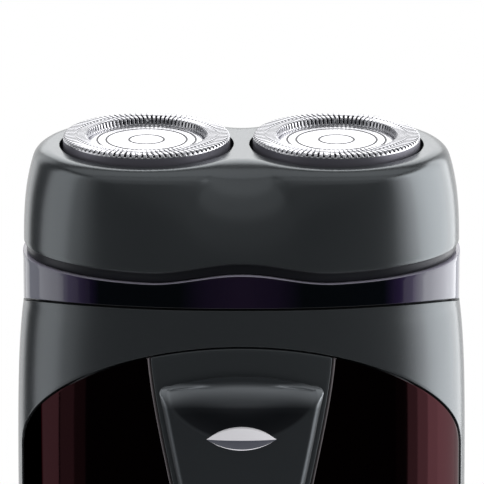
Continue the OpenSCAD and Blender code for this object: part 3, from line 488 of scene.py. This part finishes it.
def collar(start, stop):  # stands up inside the lower edge of the ring
    angle = np.linspace(start, stop, 121)[None, :] + np.zeros((5, 1))
    level = ringEdge(bodyPoint(angle, coverForm["edgeLevel"])[..., 1]) - coverForm["collarDrop"]
    level = level + (coverForm["collarTop"] - level) * np.linspace(0, 1, 5)[:, None]
    return thickWall(angle, level, coverForm["recess"], coverForm["wall"])


def makeFrontHousing():
    print("shaver: front housing")
    low, wall = coverForm["panelLow"], coverForm["wall"]
    bottomX = -panelHalf(low) * np.cos(np.linspace(0, np.pi, 61))
    sideLevel = spread(low, archSide, 70, 1.3)
    t = np.linspace(0, np.pi, 141)
    window = ((bottomX, np.full(61, low)), (panelHalf(sideLevel), sideLevel),
              (panelHalf(archSide) * np.cos(t), archSide + coverForm["archRise"] * np.sin(t)), 0.2)
    angle, level = windowRing(-1, window, 22)
    surfaces = [thickWall(angle, level, 0, wall, closed=True)]
    # Sunk floor behind the panels and the strip, tucked under the frame round them
    tuck = coverForm["tuck"]
    u, v = np.meshgrid(np.linspace(-1, 1, 61), np.linspace(0, 1, 61))
    z = low - tuck + v * (archSide + (coverForm["archRise"] + tuck) * np.sqrt(1 - u * u) - low + tuck)
    x = u * (panelHalf(np.minimum(z, archSide)) + coverForm["sideTuck"])
    surfaces.append(thickWall(-angleAt(x, z), z, coverForm["recess"], wall - 0.05))
    surfaces.append(collar(-np.pi, 0))
    makePiece("frontHousing", surfaces, "root", "front_housing", finishes["satin"], coverForm["edgeRound"])


def makeSidePanels():
    print("shaver: side panels")
    seam = coverForm["seam"]
    lowLevel = np.linspace(coverForm["panelLow"] + seam, archSide, 70)[:-1]
    t = np.linspace(0, np.pi / 2, 1200)
    archX = (panelHalf(archSide) - seam) * np.cos(t)
    archZ = archSide + (coverForm["archRise"] - seam) * np.sin(t)
    tip = t[np.argmax(archX < stripHalf(archZ) + seam + coverForm["tipWidth"])]
    t = tip * np.linspace(0, 1, 80) ** 0.9
    z = np.concatenate([lowLevel, archSide + (coverForm["archRise"] - seam) * np.sin(t)])
    outerX = np.concatenate([panelHalf(lowLevel) - seam, (panelHalf(archSide) - seam) * np.cos(t)])
    # The last column is the narrow edge beside the strip, which gets a painted highlight
    innerX = np.minimum(stripHalf(z) + seam, outerX)
    brightX = np.minimum(innerX + coverForm["brightEdge"], outerX)
    a, b, c = (angleAt(x, z) for x in (outerX, brightX, innerX))
    angle = a[:, None] + (b - a)[:, None] * np.linspace(0, 1, 43)[None, :]
    angle = np.concatenate([angle, c[:, None]], axis=1)
    level = z[:, None] + np.zeros(angle.shape)
    right = thickWall(-angle, level, 0, coverForm["skin"])
    # A pale finish on that edge: a painted highlight along the panel's polished edge
    line = (finishes["panelEdgePaintedHighlight"], lambda x, y, z: np.abs(x) < stripHalf(z) + seam + coverForm["brightShown"])
    for side, surface in (("Right", right), ("Left", mirrored(right))):
        makePiece("panel" + side, [surface], "root", "side_panel_" + side.lower(),
                  finishes["panel" + side], 0.1, trims=[line])


def makeStrip():
    print("shaver: switch strip")
    low = coverForm["panelLow"] + coverForm["seam"]
    u, v = np.meshgrid(np.linspace(-1, 1, 41), np.linspace(0, 1, 110))
    across = u * coverForm["stripArch"] / panelHalf(archSide)
    top = archSide + (coverForm["archRise"] - coverForm["seam"]) * np.sqrt(1 - across ** 2)
    z = low + v * (top - low)
    angle = -angleAt(u * stripHalf(z), z)
    makePiece("switchStrip", [thickWall(angle, z, 0, coverForm["skin"])], "root", "switch_strip",
              finishes["stripSatin"], 0.1)


ringForm = {"lowLevel": 88.0, "highLevel": 92.0, "gap": 0.2, "lipHighlight": 0.2, "lipRow": 0.22, "rows": 15}


def makeRing():
    print("shaver: ring")
    f = ringForm
    angle = np.linspace(0, 2 * np.pi, 361)[None, :-1] + np.zeros((f["rows"], 1))
    low = ringEdge(bodyPoint(angle, f["lowLevel"])[..., 1])
    high = wave(bodyPoint(angle, f["highLevel"])[..., 0]) - f["gap"]
    level = low + (high - f["lipRow"] - low) * np.linspace(0, 1, f["rows"])[:, None]
    level[-1] = high[-1]
    # The topmost band of the ring gets a pale finish: a painted highlight along its upper edge
    lipHighlight = (finishes["ringLipPaintedHighlight"], lambda x, y, z: z > wave(x) - f["gap"] - f["lipHighlight"])
    makePiece("ringBand", [thickWall(angle, level, 0, coverForm["skin"], closed=True)], "root", "ring_band",
              finishes["ring"], 0.12, trims=[lipHighlight])


# ---- rear housing and battery cover
rearForm = {"coverHalf": 20.3, "coverTop": 62.0, "archRise": 6.0, "splitY": 6.0, "coverWall": 2.2,
            "ridges": 4, "ridgeHeight": 0.38, "ridgeDrop": 12.5, "ridgePitch": 2.4, "ridgeThick": 0.75,
            "ridgeHalf": 8.2, "ridgeSlope": 0.5, "ridgeEnd": 0.6, "railLow": 2.7, "railTop": 54.0,
            "railInset": 2.5, "tongueLow": 6.0, "tongueTop": 53.5}
railOutline = [(20.7, 5.7), (27.2, 5.7), (27.2, 9.9), (20.7, 9.9),
               (20.7, 8.8), (22.0, 8.8), (22.0, 6.9), (20.7, 6.9)]
tongueOutline = [(18.6, 7.2), (21.6, 7.2), (21.6, 8.4), (20.0, 8.4), (20.0, 13.0), (18.6, 13.0)]


def baseLevel(x, y):  # level on the base or its rounded edge at which the back reaches y at x
    levels = np.linspace(-1, bodyForm["baseRadius"], 900)[:, None]
    reached = bodyPoint(angleAt(x[None, :], levels), levels)[..., 1] >= y
    return levels[np.argmax(reached, axis=0), 0]


def bar(outline, levels, ends, outerFit=1.0):
    # Prism along Z; ends lists the quads that close it, and outerFit scales its points near the body's side
    nearSide = 25
    x, y = np.array(outline).T
    x = np.where(x > nearSide, x * outerFit, x)
    points, faces = sheetSurface(np.stack(np.broadcast_arrays(x, y, levels[:, None]), axis=-1), closed=True)
    ends = np.array(ends)
    return points, np.concatenate([faces, ends, ends[:, ::-1] + (len(levels) - 1) * len(outline)])


def makeRearHousing():
    print("shaver: rear housing")
    half, rise = rearForm["coverHalf"], rearForm["archRise"]
    bottomX = -half * np.cos(np.linspace(0, np.pi, 61))
    bottomLevel = baseLevel(bottomX, rearForm["splitY"])
    sideLevel = spread(bottomLevel[-1], rearForm["coverTop"] - rise, 80, 1.4)
    t = np.linspace(0, np.pi, 101)
    window = ((bottomX, bottomLevel), (np.full(80, half), sideLevel),
              (half * np.cos(t), rearForm["coverTop"] - rise + rise * np.sin(t)), 0.17)
    angle, level = windowRing(1, window, 34)
    surfaces = [thickWall(angle, level, 0, coverForm["wall"], closed=True)]
    surfaces.append(collar(0, np.pi))
    # Grooved rails for the cover, one at each side, kept within the tapering wall
    z = np.linspace(rearForm["railLow"], rearForm["railTop"], 40)
    inset = rearForm["railInset"]
    fit = np.clip((halfWidth(z) - inset) / (bodyForm["halfWidth"] - inset), 0.8, 1)[:, None]
    rail = bar(railOutline, z, [[0, 1, 6, 7], [1, 2, 5, 6], [2, 3, 4, 5]], fit)
    surfaces += [rail, mirrored(rail)]
    makePiece("rearHousing", surfaces, "root", "rear_housing", finishes["satin"], coverForm["edgeRound"])


def makeBatteryCover():
    print("shaver: battery cover")
    half = rearForm["coverHalf"] - coverForm["seam"]
    rise = rearForm["archRise"] - coverForm["seam"]
    u = np.sin(np.linspace(-np.pi / 2, np.pi / 2, 71))
    # Rows lie closer together round the base edge and across the ridges
    v = np.concatenate([np.linspace(0, 0.14, 30)[:-1], np.linspace(0.14, 0.6, 40)[:-1],
                        np.linspace(0.6, 0.87, 120)[:-1], np.linspace(0.87, 1, 20)])[:, None]
    low = baseLevel(u * half, rearForm["splitY"] + coverForm["seam"])[None, :]
    top = rearForm["coverTop"] - rearForm["archRise"] + rise * np.sqrt(1 - u * u)[None, :]
    level = low + (top - low) * v
    x = (u * half)[None, :] + np.zeros_like(level)
    number = np.arange(rearForm["ridges"])[:, None, None]
    ridgeZ = rearForm["coverTop"] - rearForm["ridgeDrop"] - rearForm["ridgePitch"] * number
    bump = (soft((rearForm["ridgeThick"] - np.abs(level - ridgeZ)) / rearForm["ridgeSlope"])
            * soft((rearForm["ridgeHalf"] - number - np.abs(x)) / rearForm["ridgeEnd"]))
    raised = rearForm["ridgeHeight"] * bump.max(axis=0)
    angle = angleAt(x, level)
    surfaces = [wallBetween(bodyPoint(angle, level, -raised), bodyPoint(angle, level, rearForm["coverWall"]))]
    # Tongues that slide in the rails
    z = np.linspace(rearForm["tongueLow"], rearForm["tongueTop"], 24)
    tongue = bar(tongueOutline, z, [[0, 1, 2, 3], [0, 3, 4, 5]])
    surfaces += [tongue, mirrored(tongue)]
    makePiece("batteryCover", surfaces, "cover", "battery_cover", finishes["satin"], coverForm["edgeRound"])


# ---- shaving head
headForm = {"lean": 1.9, "height": 14.5, "edge": 1.6, "waistTop": 4.0, "waistLow": 40.0, "deck": 106.6,
            "wall": 1.6, "hole": 11.5, "rim": 1.35, "rimStep": 0.3, "seat": 0.13, "firstReach": 13.5,
            "lugThick": 1.4, "lugLift": 2.9}
lugOutline = [(-2.5, 9.2), (2.5, 9.2), (2.5, 12.0), (-2.5, 12.0)]
rimRows = [(0.1, 0.04), (0.14, 0.12), (0.14, 0.3), (0.3, 0.32)]  # depth below the rim's top, and inset


def lobeRadius(d):  # leans out towards the lower edge, and rolls over at the deck
    edge, height = headForm["edge"], headForm["height"]
    roll = edge * (1 - np.sqrt(np.clip(1 - (1 - np.minimum(d / edge, 1)) ** 2, 0, 1)))
    return bodyForm["lobe"] - headForm["lean"] * (1 - np.minimum(d, height) / height) ** 2 - roll


def waistRadius(d):
    return headForm["waistTop"] + (headForm["waistLow"] - headForm["waistTop"]) * d / headForm["height"]


# Points of the half outline: which of its three arcs each lies on, and its share of the way along it
filletCount, lobeCount = 13, 96
outlinePart = np.concatenate([np.zeros(filletCount - 1), np.ones(lobeCount), np.full(filletCount - 1, 2)])
outlineShare = np.concatenate([np.linspace(0, 1, filletCount)[:-1], np.linspace(0, 1, lobeCount),
                               np.linspace(0, 1, filletCount)[1:]])


def headOutline(d, inset=0.0):
    # Half outline at depth d below the deck, from the front of the waist round a lobe to the back of the
    # waist: fillet arc, lobe arc, fillet arc
    r, f = lobeRadius(d) - inset, waistRadius(d) + inset
    away = np.sqrt((r + f) ** 2 - lobeX ** 2)
    b = np.arctan2(away, lobeX)
    share = outlineShare
    first = np.pi / 2 + (b - np.pi / 2) * share
    around = (b - np.pi) + 2 * (np.pi - b) * share
    last = -b + (b - np.pi / 2) * share
    angle = np.select([outlinePart == 0, outlinePart == 1], [first, around], last)
    radius = np.where(outlinePart == 1, r, f)
    x = np.where(outlinePart == 1, lobeX, 0) + radius * np.cos(angle)
    y = np.select([outlinePart == 0, outlinePart == 2], [-away, away], 0) + radius * np.sin(angle)
    x[..., 0] = x[..., -1] = 0
    # Towards the lower edge the outline becomes the ring's section
    power, low = bodyForm["squareness"], bodyForm["ringTop"]
    across = (np.abs(x) / (halfWidth(low) - headForm["seat"] - inset)) ** power
    deep = (np.abs(y) / (frontDepth(low) - headForm["seat"] - inset)) ** power
    share = np.minimum(d, headForm["height"]) / headForm["height"]
    pull = 1 - share + share / (across + deep) ** (1 / power)
    return np.stack([x * pull, y * pull, headForm["deck"] - d + np.zeros_like(x)], axis=-1)


def headReach(d, inset=0.0):  # depth of the lower edge at each point of the outline, read at depth d
    return (headForm["deck"] - wave(headOutline(d, inset)[0, :, 0]))[None, :]


def deckPart(border, z, rows):  # from a hole's edge out to the border of half the deck
    line = border[-1, 1] + (border[0, 1] - border[-1, 1]) * np.linspace(0, 1, 22)[1:-1]
    loop = np.concatenate([border[:, :2], np.stack([0 * line, line], axis=-1)])
    centre = np.array([lobeX, 0])
    way = loop - centre
    hole = centre + headForm["hole"] * way / np.linalg.norm(way, axis=1, keepdims=True)
    s = np.linspace(0, 1, rows)[:, None, None]
    plan = hole[None] * (1 - s) + loop[None] * s
    return np.concatenate([plan, np.full(plan.shape[:2] + (1,), z)], axis=-1)


def headHalf():
    edge, wall, deck = headForm["edge"], headForm["wall"], headForm["deck"]
    flat = np.zeros((1, len(outlineShare)))
    reach = headReach(headReach(flat + headForm["firstReach"]))
    roll = edge * (1 - np.cos(np.linspace(0, np.pi / 2, 9)))[:, None] + flat
    main = reach - headForm["rim"]
    down = edge + (main - edge) * np.linspace(0, 1, 22)[1:, None]
    outer = [headOutline(roll), headOutline(down)]  # then the rim, stepped in and leaning under
    outer += [headOutline(main + depth, inset) for depth, inset in rimRows]
    outer.append(headOutline(reach, headForm["rimStep"] + 0.1))
    up = wall + (headReach(reach, wall) - wall) * np.linspace(1, 0, 16)[:, None]
    side = np.concatenate(outer + [headOutline(up, wall)])
    top = deckPart(side[0], deck, 8)
    under = deckPart(side[-1], deck - wall, 8)
    # The under side's hole takes the upper one's angles, so that the wall between them stands straight
    angle = np.arctan2(top[0][:, 1], top[0][:, 0] - lobeX)
    under[0] = np.stack([lobeX + headForm["hole"] * np.cos(angle), headForm["hole"] * np.sin(angle),
                         under[0][:, 2]], axis=-1)
    hole = top[0][None] + (under[0] - top[0])[None] * np.array([0, 0.12, 0.5, 1])[:, None, None]
    return [sheetSurface(side)] + [sheetSurface(grid, closed=True) for grid in (top, under[::-1], hole)]


def makeHead():
    print("shaver: head")
    half = headHalf()
    # Lugs at the back and the front of the head
    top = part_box("lock_knob")[0][2] / mm + headForm["lugLift"]
    back = bar(lugOutline, np.array([top - headForm["lugThick"], top]), [[0, 1, 2, 3]])
    front = (back[0] * [1, -1, 1], back[1][:, ::-1])
    # The stepped-in lower rim of the head, and the rounded edge above it, get a darker finish: painted shade
    # under the head's lower edge
    rim = (finishes["rimPaintedShade"], lambda x, y, z: z < wave(x) + headForm["rim"] + 0.03)
    makePiece("headShell", half + [mirrored(s) for s in half] + [back, front], "head", "head_shell",
              finishes["satinHead"], 0.1, trims=[rim])


# ---- guards with their slots, and the caps in their middles
guardForm = {"radius": 11.0, "roll": 0.5, "top": 108.0, "slots": 90, "slotShare": 0.5, "slant": 0.014,
             "slantFrom": 9.3, "thick": 0.28, "inner": 8.2, "innerRoll": 0.3, "floor": 106.6}
# Rows of the profile: radius, and height (above the flange's lower edge), height, depth of the face, height
flangeRows = [(12.15, 0.02), (12.15, 0.58), (11.05, 0.6), (11.0, 0.7)]
skirtRows = [(11.0, 106.2), (11.0, 107.3)]
faceRows = [(10.2, 0), (9.8, 0), (9.5, 0), (9.4, 0.05), (9.3, 0.07), (9.2, 0.05), (9.1, 0), (8.8, 0), (8.5, 0)]
wellRows = [(7.84, 107.5), (7.76, 107.2), (7.72, 106.9), (7.7, 106.6), (7.3, 106.6), (4, 106.6), (0.001, 106.6)]


def makeGuard(name, centre, body, node):
    # Profile turned round an upright axis; the slots are gaps between the bars of each of the equal sectors
    f = guardForm
    r0, top, roll, inner, innerRoll = (f[key] for key in ("radius", "top", "roll", "inner", "innerRoll"))
    turn = np.linspace(0, np.pi / 2, 6)
    skirt = np.concatenate([np.array(flangeRows) + [0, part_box(node)[0][2] / mm], skirtRows])
    over = np.stack([r0 - roll + roll * np.cos(turn), top - roll + roll * np.sin(turn)], axis=-1)
    face = np.array(faceRows) * [1, -1] + [0, top]
    under = np.stack([inner - innerRoll * np.sin(turn), top - innerRoll + innerRoll * np.cos(turn)], axis=-1)
    profile = np.concatenate([skirt, over, face, under, wellRows])
    first, last = len(skirt) + 1, len(profile) - len(wellRows) + 1  # rows that the slots run through
    # In each sector three columns of faces are the bar and the last two are the slot
    share = f["slotShare"]
    sector = np.array([0, 0.2 * (1 - share), 0.8 * (1 - share), 1 - share, 1 - share / 2])
    columns = (np.arange(f["slots"])[:, None] + sector).ravel() * 2 * np.pi / f["slots"]
    angle = columns[None, :] + f["slant"] * (profile[:, :1] - f["slantFrom"])
    points, faces = sheetSurface(revolved(profile, angle, centre), closed=True)
    row, column = np.divmod(np.arange(len(faces)), len(columns))
    inSlot = (row >= first) & (row < last) & (column % len(sector) >= 3)
    # The smooth side is the same steel, still metallic, but darker and bluer as a painted reflection of the dark
    # head round it
    side = (finishes["skirtSteelPaintedReflection"], lambda x, y, z: (z < top - roll) & (np.hypot(x - centre, y) > 9))
    piece = makePiece(name, [(points, faces[~inSlot])], body, node, finishes["steel"], trims=[side])
    wall = piece.modifiers.new("wall", "SOLIDIFY")
    wall.thickness = f["thick"] * mm
    wall.offset = -1


capForm = {"radius": 7.45, "top": 107.2, "rings": (6.5, 5.3, 2.3), "grooveHalf": 0.13, "grooveDepth": 0.06}


def makeCap(name, centre, body, node, material):
    rr, top, half, low = capForm["radius"], capForm["top"], capForm["grooveHalf"], guardForm["floor"] + 0.01
    rings = np.array(capForm["rings"])
    across = np.array([0.24, half, 0.09, -0.09, -half, -0.24])
    deep = np.array([0, 0, 1, 1, 0, 0]) * capForm["grooveDepth"]
    grooves = np.stack([(rings[:, None] + across).ravel(), top - np.tile(deep, len(rings))], axis=-1)
    rim = [[0.001, low], [rr, low], [rr, top - 0.12], [rr - 0.05, top - 0.04], [rr - 0.13, top]]
    profile = np.concatenate([rim, grooves, [[1, top], [0.001, top]]])
    angle = np.linspace(0, 2 * np.pi, 145)[None, :-1]

    def inGroove(x, y, z):
        return np.min(np.abs(np.hypot(x - centre, y) - rings[:, None]), axis=0) < 0.12

    makePiece(name, [sheetSurface(revolved(profile, angle, centre), closed=True)], body, node, material,
              trims=[(finishes["engraved"], inGroove)])


# ---- slider and lens
sliderForm = {"top": 79.83, "low": 42.03, "margin": 0.75, "crown": 1.5, "crownReach": 6.0, "stand": 1.5,
              "tier": 0.7, "bevel": 0.85, "topTier": 0.45, "topFlat": 0.7, "topBevel": 3.0, "corner": 1.7,
              "lowRound": 5.0, "hollow": 0.95, "hollowHalf": 11.0, "hollowHigh": 9.8, "hollowZ": 81.0,
              "hollowSteep": 0.16, "hollowFrom": 0.12, "hollowFade": 0.72, "hollowMargin": 0.8,
              "hollowSoft": 0.6}
lensForm = {"z": 71.63, "half": 4.55, "high": 1.5, "rise": 0.42, "gap": 0.03, "edge": 0.04, "back": -16.95,
            "tip": 0.998, "ridgeDip": 0.06, "ridgeHalf": 0.08, "lowerReach": 0.9}


def makeSlider():
    print("shaver: slider")
    f = sliderForm
    near = np.array([0, 0.08, 0.2, 0.36, 0.54, 0.72, 0.88, 1.0, 1.2])  # distances from the edge
    rim, length = near[-1], f["top"] - f["low"]
    # Columns: distances from the left edge, then shares of the middle, then distances from the right edge
    inside = np.linspace(0, 1, 60)[1:-1]
    side = np.concatenate([near, inside, near[::-1]])
    kind = np.repeat([0, 1, 2], [len(near), len(inside), len(near)])
    # Rows are straight first, then bent by the crown at the top
    middle = rim + (length - 2 * rim) * np.linspace(0, 1, 170)[1:-1]
    fromTop = np.concatenate([near, middle, length - near[::-1]])[:, None]
    fromLow = length - fromTop
    zFlat = f["top"] - fromTop
    corner, lowRound = f["corner"], f["lowRound"]
    cutTop = corner - np.sqrt(np.clip(corner ** 2 - (corner - np.minimum(fromTop, corner)) ** 2, 0, None))
    cutLow = np.sqrt(np.clip(1 - (1 - np.minimum(fromLow, lowRound) / lowRound) ** 2, 0.0004, 1))
    half = (stripHalf(zFlat) - f["margin"] - cutTop) * cutLow
    squeeze = np.minimum(1, half / (rim + 0.1))
    room = half - rim * squeeze
    left, right = -half + side * squeeze, half - side * squeeze
    x = np.select([kind == 0, kind == 1], [left, -room + 2 * room * side], right)
    crown = f["crown"] * np.clip(1 - fromTop / f["crownReach"], 0, 1) ** 1.5
    z = zFlat - crown * (x / np.maximum(half, 0.1)) ** 2
    gap = np.minimum(np.maximum(half - np.abs(x), 0), np.minimum(fromTop, fromLow))
    # A quick bevel round the sides, a slow one at the top, and the hollow for the thumb
    lift = f["tier"] + (f["stand"] - f["tier"]) * np.sin(np.clip(gap / f["bevel"], 0, 1) * np.pi / 2)
    overTop = np.sin(np.clip((fromTop - f["topFlat"]) / f["topBevel"], 0, 1) * np.pi / 2)
    lift = np.minimum(lift, f["topTier"] + (f["stand"] - f["topTier"]) * overTop)
    rho = np.sqrt((x / f["hollowHalf"]) ** 2 + ((z - f["hollowZ"]) / f["hollowHigh"]) ** 2)
    w = np.clip(1 - rho, 0, 1)
    hollow = f["hollow"] * (1 - np.exp(-w / f["hollowSteep"]))
    hollow = hollow * (1 - soft((w - f["hollowFrom"]) / f["hollowFade"]))
    hollow = hollow * soft((gap - f["hollowMargin"]) / f["hollowSoft"])
    outer = np.stack([x, frontSkin(x, z, hollow - lift), z], axis=-1)
    inner = np.stack([x, frontSkin(x, z, 0.1), z], axis=-1)
    makePiece("switchSlider", [wallBetween(outer, inner)], "switch", "switch_slider", finishes["sliderSatin"],
              0.05, weld=0.0005)


def makeLens():
    print("shaver: lens")
    f = lensForm
    arc = (f["half"] ** 2 + f["high"] ** 2) / (2 * f["high"])
    u = np.sin(np.linspace(-np.pi / 2, np.pi / 2, 61))[None, :]
    v = np.array([-1, -0.97, -0.9, -0.6, -0.3, -0.08, 0, 0.08, 0.3, 0.6, 0.9, 0.97, 1])[:, None]
    x = f["half"] * u * f["tip"]  # stops just short of the sharp tips
    high = np.sqrt(arc ** 2 - x ** 2) - (arc - f["high"])
    share = np.clip(high / f["high"], 0, 1)
    ridge = 1 - np.abs(v) - f["ridgeDip"] * np.exp(-(v / f["ridgeHalf"]) ** 2)
    y = frontSkin(x, f["z"], -sliderForm["stand"]) - f["gap"]
    y = y - f["rise"] * ridge * share - f["edge"] * (1 - v ** 8)
    z = f["z"] + high * v
    x = x + 0 * v
    outer = np.stack([x, y, z], axis=-1)
    inner = np.stack([x, np.full_like(z, f["back"]), z], axis=-1)

    def facet(side, reach):  # upper (1) or lower (-1) facet, out to a share of the lens's half height
        def inFacet(x, y, z):
            border = np.sqrt(np.maximum(arc ** 2 - x ** 2, 0)) - (arc - f["high"])
            away = z - f["z"]
            return (side * away > 0) & (np.abs(away) < reach * border)
        return inFacet

    # Painted highlight on the upper facet and painted shade on the lower facet; the outline keeps the bright
    # metal
    makePiece("sliderLens", [wallBetween(outer, inner)], "switch", "slider_lens", finishes["chrome"], 0.03,
              weld=0.0005, trims=[(finishes["lensUpperPaintedHighlight"], facet(1, 2)),
                                  (finishes["lensLowerPaintedShade"], facet(-1, f["lowerReach"]))])


# ---- building
makeFrontHousing()
makeSidePanels()
makeStrip()
makeRing()
makeRearHousing()
makeBatteryCover()
makeHead()
print("shaver: guards")
makeGuard("guardLeft", -lobeX, "float_left", "guard_left")
makeGuard("guardRight", lobeX, "float_right", "guard_right")
makeCap("guardCapLeft", -lobeX, "float_left", "guard_cap_left", finishes["capLeft"])
makeCap("guardCapRight", lobeX, "float_right", "guard_cap_right", finishes["capRight"])
makeSlider()
makeLens()

# Finishes of the parts that keep their own shape
insideFinish = {"greyPlastic": ["retaining_frame", "gear_plate", "battery_chassis"], "lockPlastic": ["lock_knob"],
                "whitePlastic": ["cutter_hub", "coupling_cap", "motor_end_cap"], "bladeSteel": ["cutter"],
                "plainSteel": ["coupling_spring", "gear_axle", "motor_shaft", "motor_can", "motor_screws",
                               "contact_plate", "contact_bridge", "housing_screws"],
                "brass": ["motor_pinion", "motor_terminals", "switch_contact", "switch_terminals"],
                "copper": ["motor_armature"], "magnet": ["motor_magnets"], "gearPlastic": ["drive_gear"],
                "darkPlastic": ["chamber_tray"], "rubber": ["spindle_seals"], "cellWrap": ["battery"]}
finishOf = {kind: finishes[look] for look, kinds in insideFinish.items() for kind in kinds}
for name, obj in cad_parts.items():
    kind = name.removesuffix("_left").removesuffix("_right")
    if kind in finishOf:
        obj.data.materials.clear()
        obj.data.materials.append(finishOf[kind])

# The springs under the coupling caps shorten as the guards are pressed in, a little more than the guards go; here
# each spring only gets its own copy of its mesh
for side in ("left", "right"):
    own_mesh(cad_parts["coupling_spring_" + side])

# ---- stage, lamps and camera
print("shaver: stage")
stageForm = {"floorRadius": 140.0, "clearFrom": 45.0, "clearTo": 125.0, "floorZ": -0.02, "aimZ": 75.0}


def makeFloor():
    # Disc whose colour fades to clear, so that its border is never seen
    r = np.concatenate([[0.01], np.linspace(20, stageForm["floorRadius"], 24)])
    profile = np.stack([r, np.full_like(r, stageForm["floorZ"])], axis=-1)
    points, faces = sheetSurface(revolved(profile, np.linspace(0, 2 * np.pi, 97)[None, :-1]), closed=True)
    mesh = bpy.data.meshes.new("floor")
    mesh.from_pydata((points * mm).tolist(), [], faces.tolist())
    made = bpy.data.materials.new("paleFloor")
    made.use_nodes = True
    tree = made.node_tree
    shader = tree.nodes["Principled BSDF"]
    shader.inputs["Base Color"].default_value = (0.86, 0.86, 0.87, 1)
    shader.inputs["Roughness"].default_value = 0.7
    place = tree.nodes.new("ShaderNodeTexCoord")
    far = tree.nodes.new("ShaderNodeVectorMath")
    far.operation = "LENGTH"
    tree.links.new(place.outputs["Object"], far.inputs[0])
    shown = faded(tree, far.outputs["Value"], stageForm["clearFrom"] * mm, stageForm["clearTo"] * mm, 1, 0)
    tree.links.new(shown, shader.inputs["Alpha"])
    mesh.materials.append(made)
    placed("floor", mesh)


makeFloor()

worldForm = {"ambient": 0.45, "front": (0.021, 0.026, 0.030), "back": (1, 1, 1), "backFrom": 0.6,
             "backTo": 0.93}


def makeWorld():
    # White to the camera; reflections see it bright behind the object and dark in front of it
    world = bpy.data.worlds.new("studio")
    bpy.context.scene.world = world
    world.use_nodes = True
    tree = world.node_tree
    tree.nodes.clear()
    out = tree.nodes.new("ShaderNodeOutputWorld")
    path = tree.nodes.new("ShaderNodeLightPath")
    plain, seen, mirror = (tree.nodes.new("ShaderNodeBackground") for _ in range(3))
    for light in (plain, seen):
        light.inputs["Color"].default_value = (1, 1, 1, 1)
    plain.inputs["Strength"].default_value = worldForm["ambient"]
    back = faded(tree, axesOf(tree, "Generated")["Y"], worldForm["backFrom"], worldForm["backTo"])
    tone = mixed(tree, back, worldForm["front"], worldForm["back"])
    tree.links.new(tone, mirror.inputs["Color"])
    bright = tree.nodes.new("ShaderNodeMath")
    bright.operation = "MAXIMUM"
    tree.links.new(path.outputs["Is Glossy Ray"], bright.inputs[0])
    tree.links.new(path.outputs["Is Transmission Ray"], bright.inputs[1])

    def either(share, first, second):
        node = tree.nodes.new("ShaderNodeMixShader")
        for i, socket in enumerate((share, first, second)):
            tree.links.new(socket, node.inputs[i])
        return node.outputs[0]

    unseen = either(bright.outputs[0], plain.outputs[0], mirror.outputs[0])
    tree.links.new(either(path.outputs["Is Camera Ray"], unseen, seen.outputs[0]), out.inputs["Surface"])


makeWorld()

# Each lamp: degrees right of the front, degrees up, distance, width, height (mm), radiance
lamps = {"right1": (53, 0, 520, 73, 760, 0.03), "right2": (61, 0, 520, 73, 760, 0.8),
         "right3": (70, 0, 520, 91, 760, 1.8), "right4": (81, 0, 520, 109, 760, 3.2),
         "right5": (103, 0, 520, 298, 760, 3.7), "right6": (130, 0, 520, 202, 760, 3.2),
         "left1": (-88.5, 0, 520, 322, 760, 1.15), "left2": (-64, 0, 520, 109, 760, 0.45),
         "left3": (-54, 0, 520, 73, 760, 0.15), "left4": (-140, 0, 520, 150, 760, 0.8),
         "front1": (0, 15, 700, 900, 268, 0.055), "front2": (0, 38, 700, 1200, 290, 0.22),
         "front3": (0, 63, 700, 1300, 310, 0.42), "top": (0, 98, 700, 1300, 500, 0.6),
         "back": (180, 30, 700, 600, 420, 1.5)}


def makeLamp(name, azimuth, up, distance, width, height, radiance):
    a, e = np.radians(azimuth), np.radians(up)
    way = np.array([np.sin(a) * np.cos(e), -np.cos(a) * np.cos(e), np.sin(e)])
    data = bpy.data.lights.new(name + "Lamp", "AREA")
    data.shape = "RECTANGLE"
    data.size, data.size_y = width * mm, height * mm
    data.energy = radiance * np.pi * width * height * mm * mm
    lamp = placed(name + "Lamp", data)
    lamp.location = way * distance * mm + np.array([0, 0, stageForm["aimZ"] * mm])
    lamp.rotation_euler = (np.pi / 2 - e, 0, a)
    lamp.visible_camera = False


for name, setting in lamps.items():
    makeLamp(name, *setting)

cameraForm = {"place": (0, -0.57928, 0.26430), "pitch": 16.465, "focal": 339.07, "shiftX": 0.001}
camera = placed("camera", bpy.data.cameras.new("camera"))
camera.data.sensor_width = 36
camera.data.lens = cameraForm["focal"]
camera.data.shift_x = cameraForm["shiftX"]
camera.data.clip_start = 0.01
camera.location = cameraForm["place"]
camera.rotation_euler = (np.radians(90 - cameraForm["pitch"]), 0, 0)
bpy.context.scene.camera = camera
bpy.context.scene.view_settings.view_transform = "Standard"

print("shaver: done")
